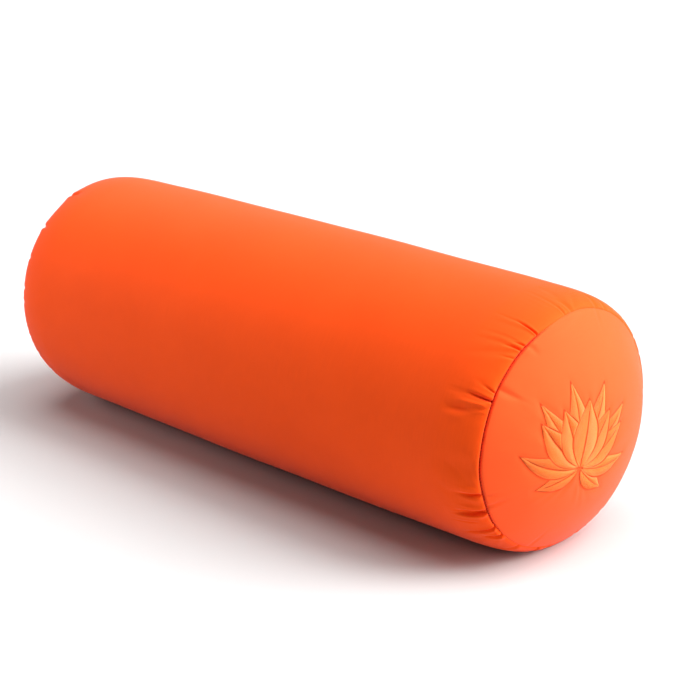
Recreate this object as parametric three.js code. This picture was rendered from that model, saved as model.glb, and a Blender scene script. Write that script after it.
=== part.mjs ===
// A yoga bolster: a long round cushion of smooth orange cotton, lying on its side.
// A tube panel is gathered at both ends into the seam of a round, domed end panel.
// Millimetres, +Z up, +X along the roll towards the embroidered end. The origin is on the
// floor, under the middle of the roll.
import * as THREE from "three";

// Driving dimensions of the roll.
const seamSpan = 584; // from one end seam to the other
const barrelRadius = 109; // upwards, where the straight barrel ends
const barrelCrown = 1.5; // how much fuller the barrel is at mid length
const lyingSpread = 1.07; // width over height, because the filling spreads under its own weight
const pressedFlat = 4; // how far the round underside is pressed into the floor
const seamRadius = 98.4; // of the end seams, drawn in from the barrel
const shoulderLength = 51; // along the roll, where the barrel rounds in to a seam
const shoulderFullness = 0.855; // share of that length over which the barrel stays full
const nearDome = 36.4; // how far the embroidered end panel bulges past its seam
const farDome = 30; // the same at the other end
const domePower = 2.26; // 2 is a parabola, more is flatter in the middle and steeper at the rim
const panelThickness = 2; // of an end panel with its seam allowance
const clearance = 0.3; // between an end panel and the filled roll

// The far end is pushed askew: it reaches further at the back and at the top.
const farSkewBack = 0.1;
const farSkewUp = 0.04;
const skewReach = 80;

// How finely the surfaces are divided.
const columns = 120; // round the roll, 3 degrees apart, so each gather below has a column
const gatherRows = [0, 3, 6, 9.5, 14, 20, 27, 36]; // distances from a seam, along the cloth
const barrelRows = [0.97, 0.8, 0.5, 0.2]; // shares of the half length, from shoulder to middle
const domeRows = [0.9, 0.72, 0.5, 0.26]; // shares of the seam radius

// The gathers of the tube panel. Each row is one trough that starts at the seam: the place round
// the roll in degrees (0 at the back, 90 on top, 180 at the front, 270 underneath), how far it
// reaches along the cloth, how deep it is, its half width in degrees, and the degrees by which it
// slants over its whole reach.
const nearGathers = [
  { at: 93, reach: 20, depth: 1.6, half: 2.6, slant: 2 },
  { at: 114, reach: 27, depth: 2.6, half: 2.8, slant: 0 },
  { at: 126, reach: 18, depth: 2.6, half: 2.6, slant: 0 },
  { at: 138, reach: 24, depth: 1.4, half: 4.5, slant: -3 },
  { at: 150, reach: 26, depth: 3.2, half: 3.0, slant: -1 },
  { at: 159, reach: 28, depth: 2.2, half: 3.4, slant: -1 },
  { at: 168, reach: 18, depth: 1.4, half: 3.0, slant: -4 },
  { at: 183, reach: 24, depth: 2.4, half: 4.6, slant: -1 },
  { at: 195, reach: 27, depth: 3.0, half: 2.6, slant: -1 },
  { at: 207, reach: 34, depth: 3.8, half: 3.2, slant: 1 },
  { at: 219, reach: 27, depth: 2.6, half: 2.8, slant: 2 },
  { at: 225, reach: 15, depth: 2.2, half: 2.4, slant: -1 },
  { at: 240, reach: 22, depth: 1.8, half: 2.8, slant: 0 },
  { at: 255, reach: 20, depth: 1.4, half: 2.8, slant: 1 },
  { at: 285, reach: 20, depth: 1.4, half: 2.8, slant: -1 },
  { at: 300, reach: 26, depth: 2.4, half: 3.0, slant: 1 },
  { at: 312, reach: 20, depth: 1.8, half: 2.6, slant: 0 },
  { at: 324, reach: 30, depth: 3.0, half: 3.2, slant: -2 },
  { at: 339, reach: 22, depth: 2.0, half: 2.8, slant: 1 },
  { at: 351, reach: 28, depth: 2.8, half: 3.0, slant: -1 },
  { at: 6, reach: 20, depth: 1.6, half: 3.6, slant: 1 },
  { at: 24, reach: 30, depth: 3.0, half: 3.0, slant: -1 },
  { at: 36, reach: 22, depth: 2.0, half: 2.6, slant: 0 },
  { at: 51, reach: 24, depth: 2.6, half: 3.0, slant: 1 },
  { at: 66, reach: 20, depth: 1.6, half: 2.8, slant: -1 },
  { at: 78, reach: 24, depth: 1.8, half: 3.0, slant: 2 },
];
const farGathers = [
  { at: 3, reach: 24, depth: 2.4, half: 3.0, slant: 1 },
  { at: 15, reach: 20, depth: 1.8, half: 2.6, slant: -1 },
  { at: 30, reach: 28, depth: 2.8, half: 3.2, slant: 0 },
  { at: 42, reach: 20, depth: 2.2, half: 2.6, slant: 1 },
  { at: 57, reach: 26, depth: 2.6, half: 3.0, slant: -1 },
  { at: 72, reach: 18, depth: 1.4, half: 2.8, slant: 0 },
  { at: 90, reach: 22, depth: 0.8, half: 3.0, slant: -2 },
  { at: 108, reach: 22, depth: 2.4, half: 2.8, slant: -1 },
  { at: 120, reach: 18, depth: 0.8, half: 3.0, slant: 0 },
  { at: 132, reach: 18, depth: 1.6, half: 2.6, slant: 1 },
  { at: 147, reach: 20, depth: 0.6, half: 3.0, slant: 0 },
  { at: 165, reach: 18, depth: 0.5, half: 3.4, slant: 1 },
  { at: 183, reach: 22, depth: 0.7, half: 3.0, slant: 0 },
  { at: 198, reach: 18, depth: 0.7, half: 2.8, slant: -1 },
  { at: 213, reach: 26, depth: 1.4, half: 3.0, slant: 1 },
  { at: 228, reach: 22, depth: 1.6, half: 2.8, slant: 0 },
  { at: 249, reach: 20, depth: 1.4, half: 2.8, slant: -1 },
  { at: 288, reach: 20, depth: 1.4, half: 2.8, slant: 1 },
  { at: 303, reach: 26, depth: 2.6, half: 3.0, slant: -1 },
  { at: 318, reach: 22, depth: 2.0, half: 2.8, slant: 0 },
  { at: 330, reach: 30, depth: 3.0, half: 3.2, slant: 1 },
  { at: 345, reach: 22, depth: 2.0, half: 2.8, slant: -1 },
];

// Sizes that follow from the driving ones.
const axisHeight = barrelRadius - pressedFlat;
const halfSpan = seamSpan / 2;
const barrelEnd = halfSpan - shoulderLength;
const nearEnd = { side: 1, dome: nearDome, gathers: nearGathers };
const farEnd = { side: -1, dome: farDome, gathers: farGathers };

// The barrel's section where it rounds in to a seam, as a curve of (x, radius) from the seam.
const shoulder = new THREE.QuadraticBezierCurve(
  new THREE.Vector2(halfSpan, seamRadius),
  new THREE.Vector2(barrelEnd + shoulderFullness * shoulderLength, barrelRadius),
  new THREE.Vector2(barrelEnd, barrelRadius),
);

// How much a trough takes off at a distance from the seam: it is deepest a little way in.
function alongGather(distance, reach) {
  if (distance >= reach) return 0;
  const deepest = 6;
  const atSeam = 0.5;
  const opening = Math.min(distance / deepest, 1);
  const closing = 1 - THREE.MathUtils.smoothstep(distance, deepest, reach);
  return (atSeam + (1 - atSeam) * opening) * closing;
}

// The trough's section: a valley between two low ridges.
function acrossGather(offset, half) {
  const u = offset / half;
  const ridge = 0.22;
  const ridgeAt = 2;
  return Math.exp(-u * u) - ridge * Math.exp(-((Math.abs(u) - ridgeAt) ** 2));
}

// How deep the cloth lies under the plain shape, at an angle and a distance from an end's seam.
function gatherDepth(end, degrees, distance) {
  let depth = 0;
  for (const row of end.gathers) {
    const centre = row.at + (row.slant * distance) / row.reach;
    const offset = THREE.MathUtils.euclideanModulo(degrees - centre + 180, 360) - 180;
    depth += row.depth * alongGather(distance, row.reach) * acrossGather(offset, row.half);
  }
  return depth;
}

// A point of the lying roll from its plain round shape: x along it, a radius and an angle.
function place(x, radius, degrees) {
  const angle = THREE.MathUtils.degToRad(degrees);
  const y = radius * Math.cos(angle) * lyingSpread;
  const z = axisHeight + radius * Math.sin(angle);
  const share = THREE.MathUtils.smoothstep(-x, halfSpan - skewReach, halfSpan);
  const skew = share * (farSkewBack * y + farSkewUp * (z - axisHeight));
  return new THREE.Vector3(x - skew, y, Math.max(z, 0));
}

// A ring of points, one for each column, whose x and radius may change with the angle.
function ring(section) {
  return Array.from({ length: columns }, (_, column) => {
    const degrees = (360 * column) / columns;
    const at = section(degrees);
    return place(at.x, at.y, degrees);
  });
}

// A ring of the barrel in the gathered part of its shoulder.
function shoulderRing(end, distance) {
  const share = distance / shoulder.getLength();
  const at = shoulder.getPointAt(share);
  const along = shoulder.getTangentAt(share);
  const outward = new THREE.Vector2(along.y, -along.x);
  return ring((degrees) => {
    const depth = gatherDepth(end, degrees, distance);
    const point = at.clone().addScaledVector(outward, -depth);
    return new THREE.Vector2(end.side * point.x, point.y);
  });
}

// A ring of the barrel past its gathers, at a share of the half length.
function barrelRing(side, share) {
  const crown = barrelCrown * (1 - share * share);
  return ring(() => new THREE.Vector2(side * share * barrelEnd, barrelRadius + crown));
}

// A ring of an end's dome, some way under its outer face.
function domeRing(end, radius, under) {
  const share = radius / seamRadius;
  const x = halfSpan + end.dome * (1 - share ** domePower);
  const slope = ((end.dome * domePower) / seamRadius) * share ** (domePower - 1);
  const outward = new THREE.Vector2(1, slope).normalize();
  const point = new THREE.Vector2(x, radius).addScaledVector(outward, -under);
  return ring(() => new THREE.Vector2(end.side * point.x, point.y));
}

// The middle point of an end's dome, some way under its outer face.
function domeCentre(end, under) {
  return place(end.side * (halfSpan + end.dome - under), 0, 0);
}

// A closed surface over rings that run from a first pole to a last pole.
function skin(firstPole, rings, lastPole) {
  const positions = [firstPole, ...rings.flat(), lastPole].flatMap((point) => point.toArray());
  const last = 1 + rings.length * columns;
  const vertex = (row, column) => 1 + row * columns + (column % columns);
  const faces = [];
  for (let column = 0; column < columns; column += 1) {
    faces.push(0, vertex(0, column), vertex(0, column + 1));
    faces.push(last, vertex(rings.length - 1, column + 1), vertex(rings.length - 1, column));
    for (let row = 0; row + 1 < rings.length; row += 1) {
      const a = vertex(row, column);
      const b = vertex(row + 1, column);
      const c = vertex(row + 1, column + 1);
      const d = vertex(row, column + 1);
      faces.push(a, b, c, a, c, d);
    }
  }
  const geometry = new THREE.BufferGeometry();
  geometry.setAttribute("position", new THREE.Float32BufferAttribute(positions, 3));
  geometry.setIndex(faces);
  geometry.computeVertexNormals();
  return geometry;
}

// The dome of the filling under an end panel, from its middle out to the seam.
function fillingDome(end) {
  const under = panelThickness + clearance;
  const radii = [...domeRows, 1].sort((a, b) => a - b).map((share) => share * seamRadius);
  return radii.map((radius) => domeRing(end, radius, under));
}

// The filled roll: the tube panel over its filling, with a dome under each end panel.
function filledRoll() {
  const under = panelThickness + clearance;
  const half = (end) => [
    ...fillingDome(end),
    ...gatherRows.map((distance) => shoulderRing(end, distance)),
    ...barrelRows.map((share) => barrelRing(end.side, share)),
  ];
  const rings = [...half(nearEnd), barrelRing(1, 0), ...half(farEnd).reverse()];
  return skin(domeCentre(nearEnd, under), rings, domeCentre(farEnd, under));
}

// A round end panel: a domed sheet whose rim meets the tube panel at the seam.
function endPanel(end) {
  const rim = seamRadius - clearance;
  const radii = [...domeRows, rim / seamRadius].sort((a, b) => a - b);
  const outer = radii.map((share) => domeRing(end, share * seamRadius, 0));
  const inner = radii.map((share) => domeRing(end, share * seamRadius, panelThickness)).reverse();
  const outerPole = domeCentre(end, 0);
  const innerPole = domeCentre(end, panelThickness);
  if (end.side > 0) return skin(outerPole, [...outer, ...inner], innerPole);
  return skin(innerPole, [...inner.reverse(), ...outer.reverse()], outerPole);
}

// A named mesh in the bolster's cotton.
function piece(name, geometry, colour) {
  const material = new THREE.MeshStandardMaterial({ color: colour, roughness: 0.8, metalness: 0 });
  const mesh = new THREE.Mesh(geometry, material);
  mesh.name = name;
  return mesh;
}

const tubeOrange = 0xfb5a1e;
const panelOrange = 0xfd7340;

const bolster = new THREE.Group();
bolster.add(piece("filled_roll", filledRoll(), tubeOrange));
bolster.add(piece("end_panel_near", endPanel(nearEnd), panelOrange));
bolster.add(piece("end_panel_far", endPanel(farEnd), panelOrange));

// The middle of the overall length comes to x = 0.
const overall = new THREE.Box3().setFromObject(bolster);
bolster.position.x = -(overall.min.x + overall.max.x) / 2;

export default bolster;
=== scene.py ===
"""The looks of a yoga bolster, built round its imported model.

A tube of smooth orange cotton and two round end panels are sewn together over their filling.
Each edge has its own gathers, which bunch the cloth and throw the creases that the photograph
shows. A cloth simulation draws the cut edges in to the end seams, and part of the soft folds
that form there is added round the creases. The near end panel carries a lotus in satin stitch.

Lengths are in metres, +Z up, +X along the roll towards the embroidered end. Angles round the
roll are in degrees: 0 at the back, 90 on top, 180 at the front and 270 underneath. The cloth is
first shaped round the roll's own axis, and then laid on the floor.
"""

import logging
import math
from collections.abc import Callable, Sequence
from dataclasses import dataclass, field, replace
from enum import Enum
from functools import cached_property

import bpy
import numpy as np
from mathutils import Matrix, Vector
from mathutils.bvhtree import BVHTree


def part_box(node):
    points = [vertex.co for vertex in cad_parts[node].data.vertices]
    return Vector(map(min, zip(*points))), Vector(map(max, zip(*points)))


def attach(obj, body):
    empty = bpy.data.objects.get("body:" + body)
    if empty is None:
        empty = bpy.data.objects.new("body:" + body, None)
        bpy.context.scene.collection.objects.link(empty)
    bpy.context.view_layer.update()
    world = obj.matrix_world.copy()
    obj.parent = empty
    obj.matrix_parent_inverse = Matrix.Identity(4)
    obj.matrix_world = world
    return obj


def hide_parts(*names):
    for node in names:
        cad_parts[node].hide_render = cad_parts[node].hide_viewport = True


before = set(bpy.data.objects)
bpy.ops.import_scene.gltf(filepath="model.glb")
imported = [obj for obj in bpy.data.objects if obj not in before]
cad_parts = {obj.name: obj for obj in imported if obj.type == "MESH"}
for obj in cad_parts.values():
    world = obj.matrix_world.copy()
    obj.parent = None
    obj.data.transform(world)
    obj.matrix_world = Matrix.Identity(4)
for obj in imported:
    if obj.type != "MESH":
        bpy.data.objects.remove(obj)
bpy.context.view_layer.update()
BODY = "root"
LOG = logging.getLogger("bolster")

Array = np.ndarray


def smooth_step(low: float, high: float, value: Array) -> Array:
    """Rises smoothly from 0 at low to 1 at high."""
    share = np.clip((value - low) / (high - low), 0, 1)
    return share * share * (3 - 2 * share)


def hump(offset: Array, half: float) -> Array:
    """A bell curve that is 1 in the middle and has that half width."""
    return np.exp(-((offset / half) ** 2))


def turned_between(degrees: Array, centre: float) -> Array:
    """The turn from centre to each angle, from -180 to 180 degrees."""
    return (degrees - centre + 180) % 360 - 180


@dataclass(frozen=True)
class Steps:
    """Steps that start fine and grow.

    Attributes:
        first: The first step.
        growth: What each step is multiplied by to give the next.
        largest: The largest step.
    """

    first: float
    growth: float
    largest: float

    def distances(self, stop: float) -> Array:
        """Adds the steps up.

        Args:
            stop: Where they end.

        Returns:
            Distances from 0, evened out so that the last one is stop.
        """
        distances = [0.0]
        step = self.first
        while distances[-1] < stop:
            distances.append(distances[-1] + step)
            step = min(step * self.growth, self.largest)
        return np.array(distances) * stop / distances[-1]


def between_samples(samples: Array, places: Array, closed: bool) -> Array:
    """Reads evenly spaced samples between their points, on a smooth curve through them.

    Args:
        samples: Samples along the first axis.
        places: Where to read, counted in samples, with fractions.
        closed: Whether the last sample is followed by the first.

    Returns:
        One row for each place.
    """
    count = len(samples)
    base = np.floor(places).astype(int)
    t = (places - base).reshape(-1, *([1] * (samples.ndim - 1)))
    weights = (
        (-t + 2 * t**2 - t**3) / 2,
        (2 - 5 * t**2 + 3 * t**3) / 2,
        (t + 4 * t**2 - 3 * t**3) / 2,
        (-(t**2) + t**3) / 2,
    )
    total = np.zeros((len(places), *samples.shape[1:]))
    for offset, weight in zip((-1, 0, 1, 2), weights):
        index = base + offset
        index = index % count if closed else np.clip(index, 0, count - 1)
        total += weight * samples[index]
    return total


class End(Enum):
    """The two ends of the roll, by the side of its middle on which they lie."""

    NEAR = 1
    FAR = -1


class Section:
    """A cloth's section along the roll, a line of (x, radius) points read by distance from the seam."""

    def __init__(self, points: Array, turn: int) -> None:
        """Measures the line.

        Args:
            points: The line's points, from the seam on.
            turn: 1 where outward lies to the left of the line's run, and -1 to the right.
        """
        self.points = points
        self.turn = turn
        steps = np.linalg.norm(np.diff(points, axis=0), axis=1)
        self.distances = np.concatenate([[0.0], np.cumsum(steps)])

    @property
    def length(self) -> float:
        """The line's whole length."""
        return float(self.distances[-1])

    def at(self, distance: Array) -> Array:
        """The (x, radius) points at some distances from the seam."""
        columns = [np.interp(distance, self.distances, column) for column in self.points.T]
        return np.stack(columns, axis=-1)

    def outward(self, distance: Array) -> Array:
        """Finds the way out of the roll.

        Args:
            distance: Distances from the seam.

        Returns:
            Directions (x, radius) at those distances.
        """
        reach = 5e-4
        ahead = self.at(distance + reach) - self.at(distance - reach)
        normal = np.stack([-ahead[..., 1], ahead[..., 0]], axis=-1) * self.turn
        return normal / np.linalg.norm(normal, axis=-1, keepdims=True)


@dataclass(frozen=True)
class RollShape:
    """The roll's measured form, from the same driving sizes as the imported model."""

    seam_span: float = 0.584
    barrel_radius: float = 0.109
    barrel_crown: float = 0.0015
    lying_spread: float = 1.07
    pressed_flat: float = 0.004
    seam_radius: float = 0.0984
    shoulder_length: float = 0.051
    shoulder_fullness: float = 0.855
    near_dome: float = 0.0364
    far_dome: float = 0.030
    dome_power: float = 2.26
    far_skew_back: float = 0.1
    far_skew_up: float = 0.04
    skew_reach: float = 0.08
    floor_softness: float = 0.0009
    fine_steps: int = 800

    @property
    def half_span(self) -> float:
        """From the middle between the seams to either seam."""
        return self.seam_span / 2

    @property
    def barrel_end(self) -> float:
        """From the middle between the seams to where the shoulder starts."""
        return self.half_span - self.shoulder_length

    @property
    def axis_height(self) -> float:
        """Of the roll's axis over the floor."""
        return self.barrel_radius - self.pressed_flat

    @property
    def girth(self) -> float:
        """Round the barrel, along the cloth."""
        across = self.barrel_radius * self.lying_spread
        return 2 * math.pi * math.sqrt((across**2 + self.barrel_radius**2) / 2)

    @cached_property
    def mid_shift(self) -> float:
        """From the middle between the seams to the middle of the overall length."""
        near_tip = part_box("end_panel_near")[1].x
        return self.half_span + self.near_dome - near_tip

    @cached_property
    def tube(self) -> Section:
        """The tube panel's section.

        Returns:
            The section, from a seam over the shoulder to the roll's middle.
        """
        t = np.linspace(0, 1, self.fine_steps)[:, None]
        seam = np.array([self.half_span, self.seam_radius])
        full = self.barrel_end + self.shoulder_fullness * self.shoulder_length
        corner = np.array([full, self.barrel_radius])
        start = np.array([self.barrel_end, self.barrel_radius])
        shoulder = (1 - t) ** 2 * seam + 2 * t * (1 - t) * corner + t**2 * start
        share = np.linspace(1, 0, self.fine_steps)[1:]
        crown = self.barrel_crown * (1 - share**2)
        barrel = np.stack([share * self.barrel_end, self.barrel_radius + crown], axis=-1)
        return Section(np.concatenate([shoulder, barrel]), turn=-1)

    def dome(self, end: End) -> Section:
        """Draws an end panel's section.

        Args:
            end: Which end it closes.

        Returns:
            The section, from its seam to its middle.
        """
        height = self.near_dome if end is End.NEAR else self.far_dome
        share = np.linspace(1, 0, self.fine_steps)
        x = self.half_span + height * (1 - share**self.dome_power)
        return Section(np.stack([x, share * self.seam_radius], axis=-1), turn=1)

    def round_place(self, section: Array, degrees: Array) -> Array:
        """Places points round the roll's own axis.

        Args:
            section: Their (x, radius) points.
            degrees: Their angles.

        Returns:
            The points, as (x, y, height over the axis).
        """
        angle = np.radians(degrees)
        x, radius = section[..., 0], section[..., 1]
        y = radius * np.cos(angle) * self.lying_spread
        return np.stack([x + 0 * angle, y, radius * np.sin(angle)], axis=-1)

    def outward(self, section: Section, distances: Array, degrees: Array) -> Array:
        """Finds the ways out of the roll over a cloth.

        Args:
            section: The cloth's section.
            distances: From the seam.
            degrees: Angles round the roll.

        Returns:
            Directions, one row for each distance and one column for each angle.
        """
        normal = section.outward(distances)[:, None, :]
        angle = np.radians(degrees)[None, :]
        along, across = normal[..., 0] + 0 * angle, normal[..., 1]
        return np.stack([along, across * np.cos(angle), across * np.sin(angle)], axis=-1)

    def lay(self, points: Array) -> Array:
        """Lays points on the floor, with the far end askew and the underside pressed flat.

        Args:
            points: Points round the roll's own axis, x from the middle between the seams.

        Returns:
            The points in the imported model's frame.
        """
        x, y, height = points[..., 0], points[..., 1], points[..., 2]
        share = smooth_step(self.half_span - self.skew_reach, self.half_span, -x)
        skew = share * (self.far_skew_back * y + self.far_skew_up * height)
        over_floor = (height + self.axis_height) / self.floor_softness
        z = self.floor_softness * np.logaddexp(0, over_floor)
        return np.stack([x - skew - self.mid_shift, y, z], axis=-1)


@dataclass(frozen=True)
class Gather:
    """A place where cloth is bunched into a seam.

    Attributes:
        at: Angle round the seam.
        take: How much cloth is bunched there.
        half: Half width of the bunched stretch, in degrees.
    """

    at: float
    take: float
    half: float = 2.0


@dataclass(frozen=True)
class Crease:
    """A fold that runs from a seam into the cloth.

    Attributes:
        at: Angle round the seam.
        depth: How deep it is, below 0 for a ridge.
        half: Half width across it, along the cloth.
        reach: How far from the seam it runs out.
        start: Where it sets in, below 0 for a fold that runs into the seam.
        set_in: Over what distance it does so.
        slant: Degrees by which it turns over its reach.
    """

    at: float
    depth: float
    half: float
    reach: float
    start: float = -0.003
    set_in: float = 0.006
    slant: float = 0.0


@dataclass(frozen=True)
class Gathering:
    """How one edge is gathered: where its cloth is bunched, and the creases that it throws."""

    gathers: tuple[Gather, ...]
    creases: tuple[Crease, ...]

    def __add__(self, other: "Gathering") -> "Gathering":
        """Both stretches of an edge together."""
        return Gathering(self.gathers + other.gathers, self.creases + other.creases)


@dataclass(frozen=True)
class PlainStretch:
    """A stretch of an edge that the photograph doesn't show: its gathers are alike, but not even.

    Attributes:
        first: The angle where it starts.
        last: The angle where it ends.
        pitch: Degrees from one gather to the next.
        take: How much cloth each gather bunches, on average.
        reach: How far the creases run, on average.
        stray: How far a gather strays from its even place, as a share of the pitch.
        take_spread: By what share the bunched cloth varies.
        reach_spread: By what share the creases' reach varies.
        depth_share: How deep a crease is, as a share of the bunched cloth.
        crease_half: A crease's half width.
        most_slant: The largest slant of a crease, in degrees.
        place_rate: How fast the places and slants vary from one gather to the next, in radians.
        take_rate: The same for the bunched cloth.
        reach_rate: The same for the reach.
    """

    first: float
    last: float
    pitch: float
    take: float
    reach: float
    stray: float = 0.25
    take_spread: float = 0.4
    reach_spread: float = 0.3
    depth_share: float = 0.8
    crease_half: float = 0.0020
    most_slant: float = 1.5
    place_rate: float = 2.4
    take_rate: float = 1.7
    reach_rate: float = 2.9

    def gathering(self) -> Gathering:
        """Gathers the stretch.

        Returns:
            Its gathers and creases.
        """
        gathers = []
        creases = []
        for number in range(round((self.last - self.first) / self.pitch)):
            wobble = math.sin(self.place_rate * number)
            at = self.first + (number + 0.5 + self.stray * wobble) * self.pitch
            take = self.take * (1 + self.take_spread * math.sin(self.take_rate * number))
            reach = self.reach * (1 + self.reach_spread * math.cos(self.reach_rate * number))
            depth = self.depth_share * take
            gathers.append(Gather(at, take))
            creases.append(Crease(at, depth, self.crease_half, reach, slant=self.most_slant * wobble))
        return Gathering(tuple(gathers), tuple(creases))


@dataclass(frozen=True)
class Sway:
    """A stretch over which a seam strays along the roll.

    Attributes:
        at: Angle round the seam.
        out: How far it strays, outwards along the roll.
        half: Half width of the stretch, in degrees.
    """

    at: float
    out: float
    half: float


NEAR_TUBE = Gathering(
    gathers=(
        Gather(at=95.4, take=0.0010, half=1.6),
        Gather(at=114.5, take=0.0028, half=1.3),
        Gather(at=122.2, take=0.0014, half=1.0),
        Gather(at=125.3, take=0.0022, half=1.2),
        Gather(at=130.5, take=0.0010, half=1.4),
        Gather(at=147.6, take=0.0018, half=1.0),
        Gather(at=151.3, take=0.0042, half=1.6),
        Gather(at=157.0, take=0.0024, half=2.2),
        Gather(at=186.0, take=0.0016, half=3.4),
        Gather(at=195.8, take=0.0036, half=1.8),
        Gather(at=204.0, take=0.0034, half=1.2),
        Gather(at=207.0, take=0.0040, half=1.4),
        Gather(at=211.1, take=0.0014, half=1.4),
        Gather(at=216.9, take=0.0034, half=1.6),
        Gather(at=224.0, take=0.0028, half=1.4),
    ),
    creases=(
        Crease(at=95.4, depth=0.0005, half=0.0010, reach=0.013, slant=-0.9),
        Crease(at=114.5, depth=0.0016, half=0.0011, reach=0.023, slant=-1.2),
        Crease(at=122.2, depth=0.0011, half=0.0009, reach=0.011, slant=1.8),
        Crease(at=125.0, depth=0.0014, half=0.0012, reach=0.016, slant=1.8),
        Crease(at=130.0, depth=0.0005, half=0.0010, reach=0.013, slant=1.8),
        Crease(at=147.6, depth=0.0012, half=0.0009, reach=0.012, slant=-1.7),
        Crease(at=151.3, depth=0.0034, half=0.0017, reach=0.024, slant=-1.1),
        Crease(at=153.9, depth=-0.0013, half=0.0017, reach=0.028, start=0.001),
        Crease(at=157.2, depth=0.0042, half=0.0036, reach=0.042, start=0.009, set_in=0.020),
        Crease(at=183.0, depth=0.0028, half=0.0090, reach=0.042, start=0.001, set_in=0.015),
        Crease(at=192.3, depth=-0.0006, half=0.0013, reach=0.027, start=0.001),
        Crease(at=195.8, depth=0.0029, half=0.0023, reach=0.027, start=-0.001),
        Crease(at=202.2, depth=-0.0005, half=0.0010, reach=0.029, start=0.006),
        Crease(at=205.4, depth=0.0046, half=0.0027, reach=0.029, start=-0.001, slant=0.5),
        Crease(at=206.6, depth=0.0018, half=0.0011, reach=0.033, start=-0.001, slant=0.5),
        Crease(at=211.1, depth=0.0008, half=0.0009, reach=0.037, start=0.009),
        Crease(at=216.9, depth=0.0038, half=0.0016, reach=0.029, slant=3.2),
        Crease(at=224.0, depth=0.0042, half=0.0019, reach=0.016, slant=-1.4),
    ),
)
FAR_NOTCHES = Gathering(
    gathers=(Gather(at=111, take=0.0030, half=1.8), Gather(at=134, take=0.0016, half=1.8)),
    creases=(
        Crease(at=111, depth=0.0030, half=0.0024, reach=0.022, slant=-1),
        Crease(at=134, depth=0.0016, half=0.0024, reach=0.018, slant=1),
    ),
)
NEAR_PANEL = Gathering(
    gathers=(
        Gather(at=98, take=0.0003, half=2.2),
        Gather(at=121, take=0.0009, half=1.6),
        Gather(at=145, take=0.0014, half=1.8),
        Gather(at=197, take=0.0010, half=1.6),
        Gather(at=203, take=0.0012, half=1.6),
        Gather(at=221, take=0.0005, half=1.8),
    ),
    creases=(
        Crease(at=121, depth=0.0007, half=0.0022, reach=0.013),
        Crease(at=145, depth=0.0012, half=0.0027, reach=0.022, slant=1),
        Crease(at=197, depth=0.0008, half=0.0020, reach=0.011, slant=2),
        Crease(at=203, depth=0.0011, half=0.0020, reach=0.015),
    ),
)
TUBE_GATHERINGS = {
    End.NEAR: NEAR_TUBE
    + PlainStretch(232, 330, pitch=13, take=0.0015, reach=0.024).gathering()
    + PlainStretch(330, 450, pitch=14, take=0.0009, reach=0.022).gathering(),
    End.FAR: FAR_NOTCHES
    + PlainStretch(146, 214, pitch=14, take=0.0005, reach=0.020).gathering()
    + PlainStretch(214, 440, pitch=12, take=0.0017, reach=0.025).gathering(),
}
PANEL_GATHERINGS = {
    End.NEAR: NEAR_PANEL + PlainStretch(230, 450, pitch=30, take=0.0006, reach=0.014).gathering(),
    End.FAR: PlainStretch(0, 360, pitch=32, take=0.0006, reach=0.014).gathering(),
}
SEAM_SWAYS = {
    End.NEAR: (
        Sway(at=105, out=0.0029, half=17),
        Sway(at=146, out=-0.0005, half=8),
        Sway(at=184, out=-0.0012, half=10),
        Sway(at=213, out=-0.0012, half=8),
        Sway(at=300, out=0.0014, half=20),
        Sway(at=20, out=-0.0012, half=24),
    ),
    End.FAR: (
        Sway(at=122, out=-0.0016, half=9),
        Sway(at=200, out=0.0012, half=22),
        Sway(at=320, out=-0.0012, half=20),
    ),
}


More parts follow.
